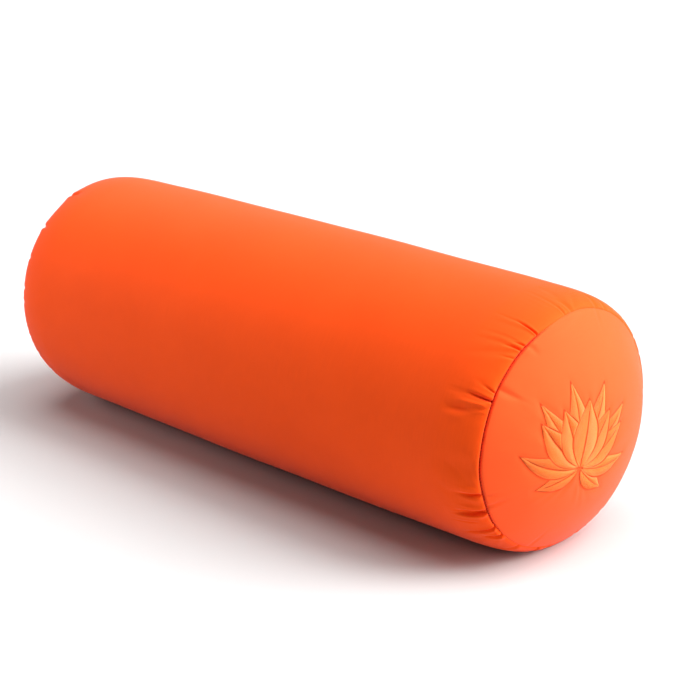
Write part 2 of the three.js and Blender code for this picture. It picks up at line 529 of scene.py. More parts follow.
@dataclass(frozen=True)
class Fullness:
    """How the spare cloth of an edge is shared out along its seam.

    Attributes:
        gathering: The edge's gathers and creases.
        girth: Length of the cloth round the roll.
        neighbourhood: Half width of the stretch that gives up its cloth to a gather, in degrees.
        steepness: How fast the cloth of a gather is taken up, against its half width.
        ridge_share: How high the soft ridges beside a crease are, as a share of its depth.
        ridge_place: How far those ridges lie from its middle, in its own half widths.
        overlap: How far the seam is followed past a whole turn, in degrees.
        angle_step: How finely it is followed, in degrees.
    """

    gathering: Gathering
    girth: float
    neighbourhood: float = 22.0
    steepness: float = 1.2
    ridge_share: float = 0.16
    ridge_place: float = 2.2
    overlap: float = 30.0
    angle_step: float = 0.05

    def cloth_angles(self, seam_angles: Array) -> Array:
        """Finds which part of the cloth is sewn at a place.

        Args:
            seam_angles: Angles round the seam.

        Returns:
            The angles on the cloth, before it is sewn.
        """
        angles = seam_angles.astype(float)
        for gather in self.gathering.gathers:
            turn = turned_between(seam_angles, gather.at)
            share = self._rise(turn, gather.half) - self._rise(turn, self.neighbourhood)
            angles = angles + gather.take / self.girth * 360 * share
        return angles

    def seam_angles(self, cloth_angles: Array) -> Array:
        """Finds where a part of the cloth is sewn.

        Args:
            cloth_angles: Angles on the cloth, before it is sewn.

        Returns:
            The angles round the seam.
        """
        samples = round((360 + 2 * self.overlap) / self.angle_step) + 1
        seam = np.linspace(-self.overlap, 360 + self.overlap, samples)
        return np.interp(cloth_angles, self.cloth_angles(seam), seam)

    def middle(self, crease: Crease) -> float:
        """The angle on the cloth where a crease starts."""
        return float(self.cloth_angles(np.array([crease.at]))[0])

    def creases(self, distances: Array, cloth_angles: Array) -> Array:
        """How deep the creases are, with a soft ridge on each of their sides.

        Args:
            distances: From the seam, along the cloth.
            cloth_angles: Angles on the cloth.

        Returns:
            Depths, one row for each distance and one column for each angle.
        """
        depth = np.zeros((len(distances), len(cloth_angles)))
        row = distances[:, None]
        for crease in self.gathering.creases:
            centre = self.middle(crease) + crease.slant * row / crease.reach
            turn = turned_between(cloth_angles[None, :], centre) * self.girth / 360 / crease.half
            ridges = self.ridge_share * hump(np.abs(turn) - self.ridge_place, 1)
            across = hump(turn, 1) - ridges
            setting_in = smooth_step(crease.start, crease.start + crease.set_in, row)
            running_out = 1 - np.clip(row / crease.reach, 0, 1) ** 2
            depth += crease.depth * across * setting_in * running_out
        return depth

    def _rise(self, turn: Array, half: float) -> Array:
        """Rises from -0.5 to 0.5 across a stretch of that half width."""
        return 0.5 * np.tanh(self.steepness * turn / half)


@dataclass(frozen=True)
class DrawIn:
    """A cloth simulation that draws the edge of cut cloth in to its seam.

    The cloth starts as it is cut. Its sewn edge and its last row are led to their places, while
    the filling presses on the rows between.
    """

    pressure: float = 300.0
    point_mass: float = 0.002
    stretch: float = 30.0
    shear: float = 5.0
    bending: float = 20.0
    damping: float = 0.5
    air: float = 1.0
    steps: int = 5
    draw_frames: int = 12
    settle_frames: int = 8

    def run(self, cut: Array, sewn: Array, flipped: bool) -> Array:
        """Simulates the cloth.

        Args:
            cut: The cloth's points as it is cut, as rows from the seam and columns round it.
            sewn: The same points on the plain sewn shape.
            flipped: Whether the rows run so that the faces need turning to point outwards.

        Returns:
            The settled points, in the same order.
        """
        rows, columns = cut.shape[:2]
        faces = ring_faces(rows, columns, flipped)
        blank = new_object("cloth_blank", cut.reshape(-1, 3), faces)
        self._lead_edges(blank, sewn, rows, columns)
        self._add_cloth(blank)
        scene = bpy.context.scene
        for number in range(1, self.last_frame + 1):
            scene.frame_set(number)
        settled = blank.evaluated_get(bpy.context.evaluated_depsgraph_get())
        points = np.empty(rows * columns * 3, np.float32)
        settled.data.vertices.foreach_get("co", points)
        self._clear(blank)
        return points.reshape(rows, columns, 3).astype(float)

    @property
    def last_frame(self) -> int:
        """The last frame of the simulation."""
        return 1 + self.draw_frames + self.settle_frames

    def _lead_edges(self, blank: bpy.types.Object, sewn: Array, rows: int, columns: int) -> None:
        """Pins the first and last rows, and keys their way to the sewn shape.

        Args:
            blank: The cut cloth.
            sewn: Its points on the sewn shape.
            rows: How many rows it has.
            columns: How many points a row has.
        """
        blank.shape_key_add(name="cut")
        key = blank.shape_key_add(name="sewn")
        key.data.foreach_set("co", sewn.astype(np.float32).ravel())
        key.value = 0
        key.keyframe_insert("value", frame=1)
        key.value = 1
        key.keyframe_insert("value", frame=1 + self.draw_frames)
        last_row = (rows - 1) * columns
        held = [*range(columns), *range(last_row, last_row + columns)]
        blank.vertex_groups.new(name="held").add(held, 1.0, "REPLACE")

    def _add_cloth(self, blank: bpy.types.Object) -> None:
        """Adds the simulation, with pressure from inside and no gravity.

        Args:
            blank: The cut cloth.
        """
        modifier = blank.modifiers.new("cloth", "CLOTH")
        settings = modifier.settings
        settings.vertex_group_mass = "held"
        settings.quality = self.steps
        settings.mass = self.point_mass
        settings.air_damping = self.air
        settings.tension_stiffness = self.stretch
        settings.compression_stiffness = self.stretch
        settings.shear_stiffness = self.shear
        settings.bending_stiffness = self.bending
        settings.tension_damping = self.damping
        settings.compression_damping = self.damping
        settings.shear_damping = self.damping
        settings.bending_damping = 0
        settings.use_pressure = True
        settings.uniform_pressure_force = self.pressure
        settings.effector_weights.gravity = 0
        modifier.collision_settings.use_collision = False
        modifier.collision_settings.use_self_collision = False
        modifier.point_cache.frame_start = 1
        modifier.point_cache.frame_end = self.last_frame

    @staticmethod
    def _clear(blank: bpy.types.Object) -> None:
        """Removes a simulated cloth and its keys.

        Args:
            blank: The cloth.
        """
        mesh = blank.data
        action = mesh.shape_keys.animation_data.action
        bpy.data.objects.remove(blank)
        bpy.data.meshes.remove(mesh)
        bpy.data.actions.remove(action)
        bpy.context.scene.frame_set(1)


def ring_faces(rows: int, columns: int, flipped: bool = False) -> Array:
    """The four-cornered faces between closed rings of points.

    Args:
        rows: How many rings there are.
        columns: How many points each ring has.
        flipped: Whether the faces are turned over.

    Returns:
        Vertex numbers, four for each face.
    """
    row = np.arange(rows - 1)[:, None] * columns
    column = np.arange(columns)[None, :]
    following = (column + 1) % columns
    corners = [row + column, row + columns + column, row + columns + following, row + following]
    if flipped:
        corners.reverse()
    return np.stack(corners, axis=-1).reshape(-1, 4)


def closed_rings(name: str, rings: Array, flipped: bool = False) -> bpy.types.Object:
    """Makes a closed skin through rings of points, with a point at each end.

    Args:
        name: The object's name.
        rings: The rings, one row each.
        flipped: Whether the faces are turned over.

    Returns:
        The object. The faces of its two ends come last.
    """
    rows, columns = rings.shape[:2]
    points = np.concatenate([rings.reshape(-1, 3), [rings[0].mean(axis=0), rings[-1].mean(axis=0)]])
    column = np.arange(columns)
    following = (column + 1) % columns
    tips = np.full(columns, rows * columns)
    last_row = (rows - 1) * columns
    start = np.stack([tips, column, following], axis=-1)
    finish = np.stack([tips + 1, last_row + following, last_row + column], axis=-1)
    if flipped:
        start, finish = start[:, ::-1], finish[:, ::-1]
    walls = ring_faces(rows, columns, flipped)
    return new_object(name, points, [*walls.tolist(), *start.tolist(), *finish.tolist()])


def new_object(name: str, vertices: Array, faces: Sequence[Sequence[int]]) -> bpy.types.Object:
    """Makes a smooth-shaded mesh object.

    Args:
        name: The object's name.
        vertices: Points, one row each.
        faces: Vertex numbers of each face.

    Returns:
        The object, linked to the scene.
    """
    mesh = bpy.data.meshes.new(name)
    listed = faces.tolist() if isinstance(faces, np.ndarray) else faces
    mesh.from_pydata(np.asarray(vertices, float).tolist(), [], listed)
    mesh.polygons.foreach_set("use_smooth", [True] * len(mesh.polygons))
    mesh.update()
    made = bpy.data.objects.new(name, mesh)
    bpy.context.scene.collection.objects.link(made)
    return made


@dataclass
class SewnEdge:
    """Cloth near an end seam: cut flat, drawn in to the seam and settled.

    Attributes:
        roll: The roll's form.
        end: Which end the seam is at.
        section: The sewn cloth's section.
        cut_radius: Gives the radius of the uncut rings, from distances and angles.
        fullness: How the spare cloth is shared out.
        inwards: Whether the rows run towards the middle of an end panel.
        reach: How far from the seam the cloth is simulated.
        bending: How stiff the cloth is in the simulation.
        folds_kept: The share of the simulated folds that is added to the creases.
        spacing: From one simulated row to the next.
        columns: How many points a simulated row has.
        settled: The sewn cloth without its creases, as rows from the seam.
    """

    roll: RollShape
    end: End
    section: Section
    cut_radius: Callable[[Array, Array], Array]
    fullness: Fullness
    inwards: bool
    reach: float
    bending: float = 20.0
    folds_kept: float = 0.25
    spacing: float = 0.0015
    columns: int = 460
    settled: Array = field(init=False)

    def __post_init__(self) -> None:
        """Works out the settled cloth, with a simulation."""
        rows = round(self.reach / self.spacing) + 1
        distances = np.linspace(0, self.reach, rows)
        cloth_angles = np.arange(self.columns) * 360 / self.columns
        self.settled = self._sewn(distances, cloth_angles)
        cut = self._cut(distances, cloth_angles) - self._creases(distances, cloth_angles)
        drawn_in = DrawIn(bending=self.bending).run(cut, self.settled, self.inwards)
        outward = self.roll.outward(self.section, distances, cloth_angles)
        self.settled += self.folds_kept * self._folds(drawn_in - self.settled, outward)

    def sample(self, distances: Array, cloth_angles: Array) -> Array:
        """Reads the cloth's points, with its creases.

        Args:
            distances: From the seam.
            cloth_angles: Angles on the cloth.

        Returns:
            Points, one row for each distance and one column for each angle.
        """
        row_places = distances / self.reach * (len(self.settled) - 1)
        rows = between_samples(self.settled, row_places, False)
        column_places = cloth_angles / 360 * self.columns
        points = between_samples(rows.transpose(1, 0, 2), column_places, True).transpose(1, 0, 2)
        return points - self._creases(distances, cloth_angles)

    def _sway(self, distances: Array, degrees: Array) -> Array:
        """How far the cloth strays outwards along the roll, with its seam.

        Args:
            distances: From the seam.
            degrees: Angles round the seam.

        Returns:
            Lengths, one row for each distance and one column for each angle.
        """
        total = np.zeros_like(degrees, float)
        for sway in SEAM_SWAYS[self.end]:
            total += sway.out * hump(turned_between(degrees, sway.at), sway.half)
        return self._near_seam(distances) * total

    def _creases(self, distances: Array, cloth_angles: Array) -> Array:
        """How far the creases move the cloth in."""
        depth = self.fullness.creases(distances, cloth_angles)[..., None]
        return self.roll.outward(self.section, distances, cloth_angles) * depth

    def _near_seam(self, distances: Array) -> Array:
        """A share that falls from 1 at the seam to 0 where the simulated cloth ends."""
        return 1 - smooth_step(0, self.reach, distances)[:, None]

    def _sewn(self, distances: Array, cloth_angles: Array) -> Array:
        """The plain sewn shape, whose columns spread out evenly away from the seam.

        Args:
            distances: From the seam.
            cloth_angles: Angles on the cloth.

        Returns:
            Points, one row for each distance and one column for each angle.
        """
        seam_angles = self.fullness.seam_angles(cloth_angles)[None, :]
        share = self._near_seam(distances)
        angles = share * seam_angles + (1 - share) * cloth_angles[None, :]
        points = self.roll.round_place(self.section.at(distances)[:, None, :], angles)
        points[..., 0] += self._sway(distances, seam_angles)
        return points

    def _cut(self, distances: Array, cloth_angles: Array) -> Array:
        """The uncut rings, as far apart along the cloth as they are when it is sewn.

        Args:
            distances: From the seam.
            cloth_angles: Angles on the cloth.

        Returns:
            Points, one row for each distance and one column for each angle.
        """
        radius = self.cut_radius(distances[:, None], cloth_angles[None, :])
        mean_radius = radius.mean(axis=1)
        steps = np.sqrt(np.maximum(np.diff(distances) ** 2 - np.diff(mean_radius) ** 2, 0))
        onwards = np.concatenate([[0.0], np.cumsum(steps)])
        last = self.section.at(distances[-1:])[0, 0]
        towards_seam = -1 if self.inwards else 1
        x = last + towards_seam * (onwards[-1] - onwards)
        section = np.stack([x[:, None] + 0 * radius, radius], axis=-1)
        return self.roll.round_place(section, cloth_angles[None, :])

    @staticmethod
    def _folds(moved: Array, outward: Array) -> Array:
        """The cloth's moves without each ring's mean, so that the measured section stays."""
        away = (moved * outward).sum(axis=-1)
        return moved - outward * away.mean(axis=1)[:, None, None]


@dataclass(frozen=True)
class SeamGroove:
    """The narrow groove where two edges turn in to their seam, in a wider hollow.

    Attributes:
        depth: How deep the groove is.
        half: Its half width.
        hollow: How deep the hollow is.
        hollow_half: Its half width.
        open_at: The angle round the roll where the seam gapes.
        open_half: Half width of the stretch over which it gapes, in degrees.
        open_blend: Half the turn over which it closes, in degrees.
        tight_share: What is left of the groove and the hollow where the seam is tight.
    """

    depth: float = 0.0042
    half: float = 0.0008
    hollow: float = 0.0004
    hollow_half: float = 0.0032
    open_at: float = 166.0
    open_half: float = 50.0
    open_blend: float = 13.0
    tight_share: float = 0.12

    def sink(self, distances: Array, degrees: Array) -> Array:
        """How deep the cloth lies under its plain surface.

        Args:
            distances: From the seam.
            degrees: Angles round the roll.

        Returns:
            Depths, shaped as the arguments are together.
        """
        away = np.abs(turned_between(degrees, self.open_at))
        tight = smooth_step(self.open_half - self.open_blend, self.open_half + self.open_blend, away)
        groove = self.depth * hump(distances, self.half)
        hollow = self.hollow * hump(distances, self.hollow_half)
        return (groove + hollow) * (1 - (1 - self.tight_share) * tight)


class Nodes:
    """A short way to write the nodes of a material or of the world."""

    def __init__(self, owner: bpy.types.Material | bpy.types.World) -> None:
        """Starts from an empty tree.

        Args:
            owner: The material or the world.
        """
        owner.use_nodes = True
        self.tree = owner.node_tree
        self.tree.nodes.clear()
        self.output = "OutputWorld" if isinstance(owner, bpy.types.World) else "OutputMaterial"

    def add(
        self, kind: str, inputs: dict[str | int, object] | None = None, **settings: object
    ) -> bpy.types.Node:
        """Adds a node.

        Args:
            kind: The node's type, without its ShaderNode prefix.
            inputs: What each input is set to, or the output that it is linked to.
            **settings: The node's own properties.

        Returns:
            The node.
        """
        node = self.tree.nodes.new("ShaderNode" + kind)
        for name, value in settings.items():
            setattr(node, name, value)
        for name, value in (inputs or {}).items():
            if isinstance(value, bpy.types.NodeSocket):
                self.tree.links.new(value, node.inputs[name])
            else:
                node.inputs[name].default_value = value
        return node

    def finish(self, shader: bpy.types.Node) -> None:
        """Joins a shader to the tree's output."""
        output = self.add(self.output)
        self.tree.links.new(shader.outputs[0], output.inputs["Surface"])


Colour = tuple[float, float, float]


@dataclass(frozen=True)
class CottonFinish:
    """Smooth fine cotton: a close plain weave with a soft sheen.

    Attributes:
        name: The material's name.
        shade: Its colour.
        deep_shade: The colour of its darker streaks.
        thread_pitch: From one thread to the next.
        thread_relief: How deep the dents between its threads are.
        unevenness: How deep the faint unevenness of the whole cloth is.
        roughness: How matt its threads are.
        gloss: How much light its threads mirror.
        sheen: How much light its fibres scatter at a glance.
        sheen_roughness: How far from a glance they still do.
        sheen_shade: The colour of that light.
    """

    name: str
    shade: Colour
    deep_shade: Colour
    thread_pitch: float = 0.00024
    thread_relief: float = 0.00004
    unevenness: float = 0.0006
    roughness: float = 0.62
    gloss: float = 0.04
    sheen: float = 0.17
    sheen_roughness: float = 0.42
    sheen_shade: Colour = (1.0, 0.50, 0.62)

    def material(self) -> bpy.types.Material:
        """Builds the cotton's nodes on the cloth's own map.

        Returns:
            The material.
        """
        made = bpy.data.materials.new(self.name)
        nodes = Nodes(made)
        cloth_map = nodes.add("UVMap", uv_map="cloth").outputs[0]
        colour = self._colour(nodes, cloth_map)
        bump = self._weave(nodes, cloth_map)
        shader = nodes.add("BsdfPrincipled", {
            "Base Color": colour,
            "Roughness": self.roughness,
            "Specular IOR Level": self.gloss,
            "Sheen Weight": self.sheen,
            "Sheen Roughness": self.sheen_roughness,
            "Sheen Tint": (*self.sheen_shade, 1.0),
            "Normal": bump,
        })
        nodes.finish(shader)
        return made

    def _colour(self, nodes: Nodes, cloth_map: bpy.types.NodeSocket) -> bpy.types.NodeSocket:
        """Slow unevenness of the dye, with faint streaks along the threads.

        Args:
            nodes: The material's nodes.
            cloth_map: The cloth's own map.

        Returns:
            The colour.
        """
        streaks = nodes.add("Mapping", {"Vector": cloth_map, "Scale": (60.0, 900.0, 1.0)})
        fine = nodes.add("TexNoise", {"Vector": streaks.outputs[0], "Scale": 1.0, "Detail": 3.0})
        slow = nodes.add("TexNoise", {"Vector": cloth_map, "Scale": 14.0, "Detail": 2.0})
        both = nodes.add("Math", {0: fine.outputs[0], 1: slow.outputs[0]}, operation="ADD")
        share = nodes.add("MapRange", {
            "Value": both.outputs[0], "From Min": 0.7, "From Max": 1.3, "To Min": 0.0, "To Max": 1.0,
        })
        mixed = nodes.add("MixRGB", {
            "Fac": share.outputs[0], "Color1": (*self.deep_shade, 1.0), "Color2": (*self.shade, 1.0),
        })
        return mixed.outputs[0]

    def _weave(self, nodes: Nodes, cloth_map: bpy.types.NodeSocket) -> bpy.types.NodeSocket:
        """Crossing threads in relief, over a faint unevenness of the cloth.

        Args:
            nodes: The material's nodes.
            cloth_map: The cloth's own map.

        Returns:
            The surface's direction.
        """
        turns = math.tau / (2 * self.thread_pitch)
        scaled = nodes.add("VectorMath", {0: cloth_map, 1: (turns, turns, 0.0)}, operation="MULTIPLY")
        parts = nodes.add("SeparateXYZ", {0: scaled.outputs[0]})
        warp = nodes.add("Math", {0: parts.outputs[0]}, operation="SINE")
        weft = nodes.add("Math", {0: parts.outputs[1]}, operation="SINE")
        crossing = nodes.add("Math", {0: warp.outputs[0], 1: weft.outputs[0]}, operation="MULTIPLY")
        threads = nodes.add("Bump", {
            "Strength": 0.35, "Distance": self.thread_relief, "Height": crossing.outputs[0],
        })
        uneven = nodes.add("TexNoise", {"Vector": cloth_map, "Scale": 90.0, "Detail": 4.0})
        soft = nodes.add("Bump", {
            "Strength": 0.25, "Distance": self.unevenness, "Height": uneven.outputs[0],
            "Normal": threads.outputs[0],
        })
        return soft.outputs[0]


@dataclass(frozen=True)
class ThreadFinish:
    """Twisted sewing or embroidery thread, with painted shade in the dents between its strands.

    Attributes:
        name: The material's name.
        shade: Its colour.
        painted_shade_share: What is left of that colour between its strands.
        relief: How deep the dents between its strands are.
        roughness: How matt it is.
        gloss: How much light it mirrors.
        sheen: How much light its fibres scatter at a glance.
    """

    name: str
    shade: Colour
    painted_shade_share: float = 0.8
    relief: float = 0.0001
    roughness: float = 0.42
    gloss: float = 0.16
    sheen: float = 0.2

    def material(self) -> bpy.types.Material:
        """Builds the thread's nodes.

        Returns:
            The material.
        """
        made = bpy.data.materials.new(self.name)
        nodes = Nodes(made)
        place = nodes.add("TexCoord").outputs["Object"]
        noise = nodes.add("TexNoise", {"Vector": place, "Scale": 900.0, "Detail": 2.0})
        # Painted shade: the colour darkens where the relief noise dips, in the dents between strands.
        darker = tuple(value * self.painted_shade_share for value in self.shade)
        mixed = nodes.add("MixRGB", {
            "Fac": noise.outputs[0], "Color1": (*darker, 1.0), "Color2": (*self.shade, 1.0),
        })
        bump = nodes.add("Bump", {
            "Strength": 0.3, "Distance": self.relief, "Height": noise.outputs[0],
        })
        shader = nodes.add("BsdfPrincipled", {
            "Base Color": mixed.outputs[0],
            "Roughness": self.roughness,
            "Specular IOR Level": self.gloss,
            "Sheen Weight": self.sheen,
            "Sheen Roughness": 0.4,
            "Normal": bump.outputs[0],
        })
        nodes.finish(shader)
        return made


@dataclass(frozen=True)
class FloorFinish:
    """Plain pale paint."""

    name: str
    shade: Colour

    def material(self) -> bpy.types.Material:
        """Builds the paint's nodes.

        Returns:
            The material.
        """
        made = bpy.data.materials.new(self.name)
        nodes = Nodes(made)
        shader = nodes.add("BsdfPrincipled", {"Base Color": (*self.shade, 1.0), "Roughness": 0.9})
        nodes.finish(shader)
        return made


TUBE_COTTON = CottonFinish("tube_cotton", shade=(0.96, 0.084, 0.006), deep_shade=(0.91, 0.077, 0.005))
# The panels are the tube's cloth; their paler, pinker tint is painted highlight, the washed-out look of
# the brightly lit near panel.
PANEL_COTTON_PAINTED_HIGHLIGHT = CottonFinish("panel_cotton", shade=(0.96, 0.095, 0.020), deep_shade=(0.92, 0.089, 0.018))
EMBROIDERY_THREAD = ThreadFinish("embroidery_thread", shade=(0.97, 0.205, 0.036), sheen=0.03)
# Dark outline thread: real stem stitches, and painted shadow along the edges of the raised satin.
OUTLINE_THREAD_AND_PAINTED_SHADOW = ThreadFinish("outline_thread", shade=(0.50, 0.046, 0.004), roughness=0.6, sheen=0.0)
# Dark seam thread: real stitches, and painted shade down in the seam grooves.
SEAM_THREAD_AND_PAINTED_SHADE = ThreadFinish("seam_thread", shade=(0.50, 0.045, 0.006), sheen=0.05)
FLOOR_PAINT = FloorFinish("floor_paint", (0.54, 0.54, 0.54))


@dataclass(frozen=True)
class Wave:
    """One slow wave of the filling's unevenness.

    Attributes:
        height: How high it is against the others.
        lobes: How often it rises round the roll.
        phase: Where round the roll it starts, in radians.
        twist: How fast it turns along the roll, in radians a metre.
        rate: How fast it rises and falls along the roll, in radians a metre.
        rate_phase: Where along the roll that starts, in radians.
    """

    height: float
    lobes: int
    phase: float
    twist: float = 0.0
    rate: float = 0.0
    rate_phase: float = math.pi / 2

    def at(self, turn: Array, x: Array | float = 0.0) -> Array:
        """Its height at angles in radians and places along the roll."""
        along = np.sin(self.rate * x + self.rate_phase)
        return self.height * np.sin(self.lobes * turn + self.twist * x + self.phase) * along


PANEL_WAVES = (Wave(height=1.0, lobes=2, phase=0.8), Wave(height=0.4, lobes=3, phase=2.1))
TUBE_WAVES = (
    Wave(height=1.0, lobes=3, phase=0.6, twist=11, rate=19, rate_phase=1.1),
    Wave(height=0.6, lobes=5, phase=2.2, twist=-17, rate=31),
)


def add_cloth_map(piece: bpy.types.Object, corner_places: Array) -> None:
    """Gives a piece the map of its cloth as it was cut, in metres, one place for each corner."""
    layer = piece.data.uv_layers.new(name="cloth")
    layer.data.foreach_set("uv", corner_places.astype(np.float32).ravel())


@dataclass
class EndPanel:
    """A round end panel, eased into its seam.

    Attributes:
        roll: The roll's form.
        end: Which end it closes.
        name: The piece's name.
        node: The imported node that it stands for.
        flower: Embroidery that pulls on its cloth, where it has any.
        ease: The share of the flat panel's ease that is left in its edge.
        folds_kept: The share of the simulated folds that is added to the creases.
        reach: How far from the seam the panel is simulated.
        columns: How many points a ring of its mesh has.
        thickness: How thick the cloth is.
        lump_height: How uneven the filling under it is.
        groove: The groove along its seam.
        steps: From one ring of its mesh to the next, from the seam on.
    """

    roll: RollShape
    end: End
    name: str
    node: str
    flower: "Flower | None" = None
    ease: float = 0.10
    folds_kept: float = 0.2
    reach: float = 0.033
    columns: int = 400
    thickness: float = 0.0012
    lump_height: float = 0.0014
    groove: SeamGroove = field(default_factory=SeamGroove)
    steps: Steps = Steps(first=0.00025, growth=1.15, largest=0.0021)

    @cached_property
    def dome(self) -> Section:
        """The panel's section."""
        return self.roll.dome(self.end)

    @cached_property
    def edge(self) -> SewnEdge:
        """The outer part of the panel.

        Returns:
            The cloth, eased into the seam.
        """
        return SewnEdge(
            roll=self.roll,
            end=self.end,
            section=self.dome,
            cut_radius=self._cut_radius,
            fullness=Fullness(PANEL_GATHERINGS[self.end], self.roll.seam_radius * math.tau),
            inwards=True,
            reach=self.reach,
            folds_kept=self.folds_kept,
        )

    def surface(self, distances: Array, angles: Array) -> Array:
        """The panel's outer face round the roll's own axis, with x away from the roll's middle.

        Args:
            distances: From the seam, in rising order.
            angles: Angles on the cloth.

        Returns:
            Points, one row for each distance and one column for each angle.
        """
        eased = distances <= self.reach
        cloth = self.edge.sample(distances[eased], angles)
        plain = self.dome.at(distances[~eased])[:, None, :]
        rings = np.concatenate([cloth, self.roll.round_place(plain, angles[None, :])])
        sunk = self.groove.sink(distances[:, None], angles[None, :]) + self._lumps(distances, angles)
        if self.flower:
            sunk += self.flower.pull(rings[..., 1], rings[..., 2] + self.roll.axis_height)
        return rings - self.roll.outward(self.dome, distances, angles) * sunk[..., None]

    def build(self) -> bpy.types.Object:
        """Builds the panel as a thin domed sheet and dresses it in cotton tinted paler as painted
        highlight.

        Returns:
            The piece.
        """
        angles = np.arange(self.columns) * 360 / self.columns
        distances = self.steps.distances(self.dome.length)[:-1]
        outer = self.surface(distances, angles)
        inner = outer - self.roll.outward(self.dome, distances, angles) * self.thickness
        piece = self._sheet(np.concatenate([outer[::-1], inner]))
        self._map(piece, np.concatenate([distances[::-1], distances]), angles)
        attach(piece, BODY)
        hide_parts(self.node)
        across = 2 * self.dome.length
        area = math.pi * self.dome.length**2
        piece.data.materials.append(PANEL_COTTON_PAINTED_HIGHLIGHT.material())
        return piece

    def _cut_radius(self, distance: Array, angle: Array) -> Array:
        """The radius of a ring before it is sewn: part of the flat panel's ease is kept.

        Args:
            distance: From the seam.
            angle: Angles on the cloth.

        Returns:
            The radii.
        """
        sewn = self.dome.at(distance)[..., 1]
        flat = self.dome.length - distance
        return sewn + self.ease * (flat - sewn) + 0 * angle

    def _lumps(self, distances: Array, angles: Array) -> Array:
        """Soft unevenness of the filling under the panel.

        Args:
            distances: From the seam.
            angles: Angles on the cloth.

        Returns:
            Depths, one row for each distance and one column for each angle.
        """
        turn = np.radians(angles)[None, :]
        share = (distances / self.dome.length)[:, None]
        waves = sum(wave.at(turn) for wave in PANEL_WAVES)
        return self.lump_height * waves * share * (1 - share)

    def _sheet(self, rings: Array) -> bpy.types.Object:
        """Closes the rings of the outer and inner faces into one thin sheet."""
        mirrored = rings * np.array([self.end.value, 1, 1])
        return closed_rings(self.name, self.roll.lay(mirrored), self.end is End.FAR)

    def _map(self, piece: bpy.types.Object, distances: Array, angles: Array) -> None:
        """Maps the panel as a flat disc, so that its threads run straight across.

        Args:
            piece: The panel.
            distances: Of its rings, from the seam.
            angles: Angles on the cloth.
        """
        flat = self.dome.length - distances[:, None]
        turn = np.radians(angles)[None, :]
        spots = np.stack([flat * np.cos(turn), flat * np.sin(turn)], axis=-1).reshape(-1, 2)
        spots = np.concatenate([spots, np.zeros((2, 2))])
        corners = np.empty(len(piece.data.loops), np.int32)
        piece.data.loops.foreach_get("vertex_index", corners)
        add_cloth_map(piece, spots[corners])


@dataclass(frozen=True)
class LongSeam:
    """The seam that joins the tube panel's long edges, underneath at the back.

    Attributes:
        at: Its angle round the roll.
        groove: The groove along it.
        columns_each_side: How many fine columns of the mesh lie on each of its sides.
        column_step: Degrees from one of them to the next.
        pucker_depth: How deep its small puckers are.
        pucker_reach: How far they reach from it.
        pucker_pitch: How long a pucker is along it.
        pucker_drift: How far the puckers drift from even places, in radians.
        drift_pitches: Over how many puckers they do so.
    """

    at: float = 301.0
    groove: SeamGroove = SeamGroove(depth=0.0016, half=0.0007, hollow=0.0006, tight_share=1.0)
    columns_each_side: int = 7
    column_step: float = 0.16
    pucker_depth: float = 0.0004
    pucker_reach: float = 0.006
    pucker_pitch: float = 0.015
    pucker_drift: float = 2.0
    drift_pitches: float = 8.0

    def fine_columns(self) -> Array:
        """Angles close to the seam, where the cloth is divided finely."""
        steps = np.arange(-self.columns_each_side, self.columns_each_side + 1)
        return self.at + steps * self.column_step

    def sink(self, degrees: Array, x: Array, girth: float) -> Array:
        """How deep the cloth lies under its plain surface, with small puckers along the seam.

        Args:
            degrees: Angles round the roll.
            x: Places along the roll.
            girth: Length of the cloth round the roll.

        Returns:
            Depths, shaped as degrees and x are together.
        """
        offset = turned_between(degrees, self.at) * girth / 360
        drift_length = self.drift_pitches * self.pucker_pitch
        uneven = self.pucker_drift * np.sin(x / drift_length * math.tau)
        puckers = 0.5 + 0.5 * np.sin(x / self.pucker_pitch * math.tau + uneven)
        near = hump(offset, self.pucker_reach) * self.pucker_depth * puckers
        return self.groove.sink(offset, degrees) + near


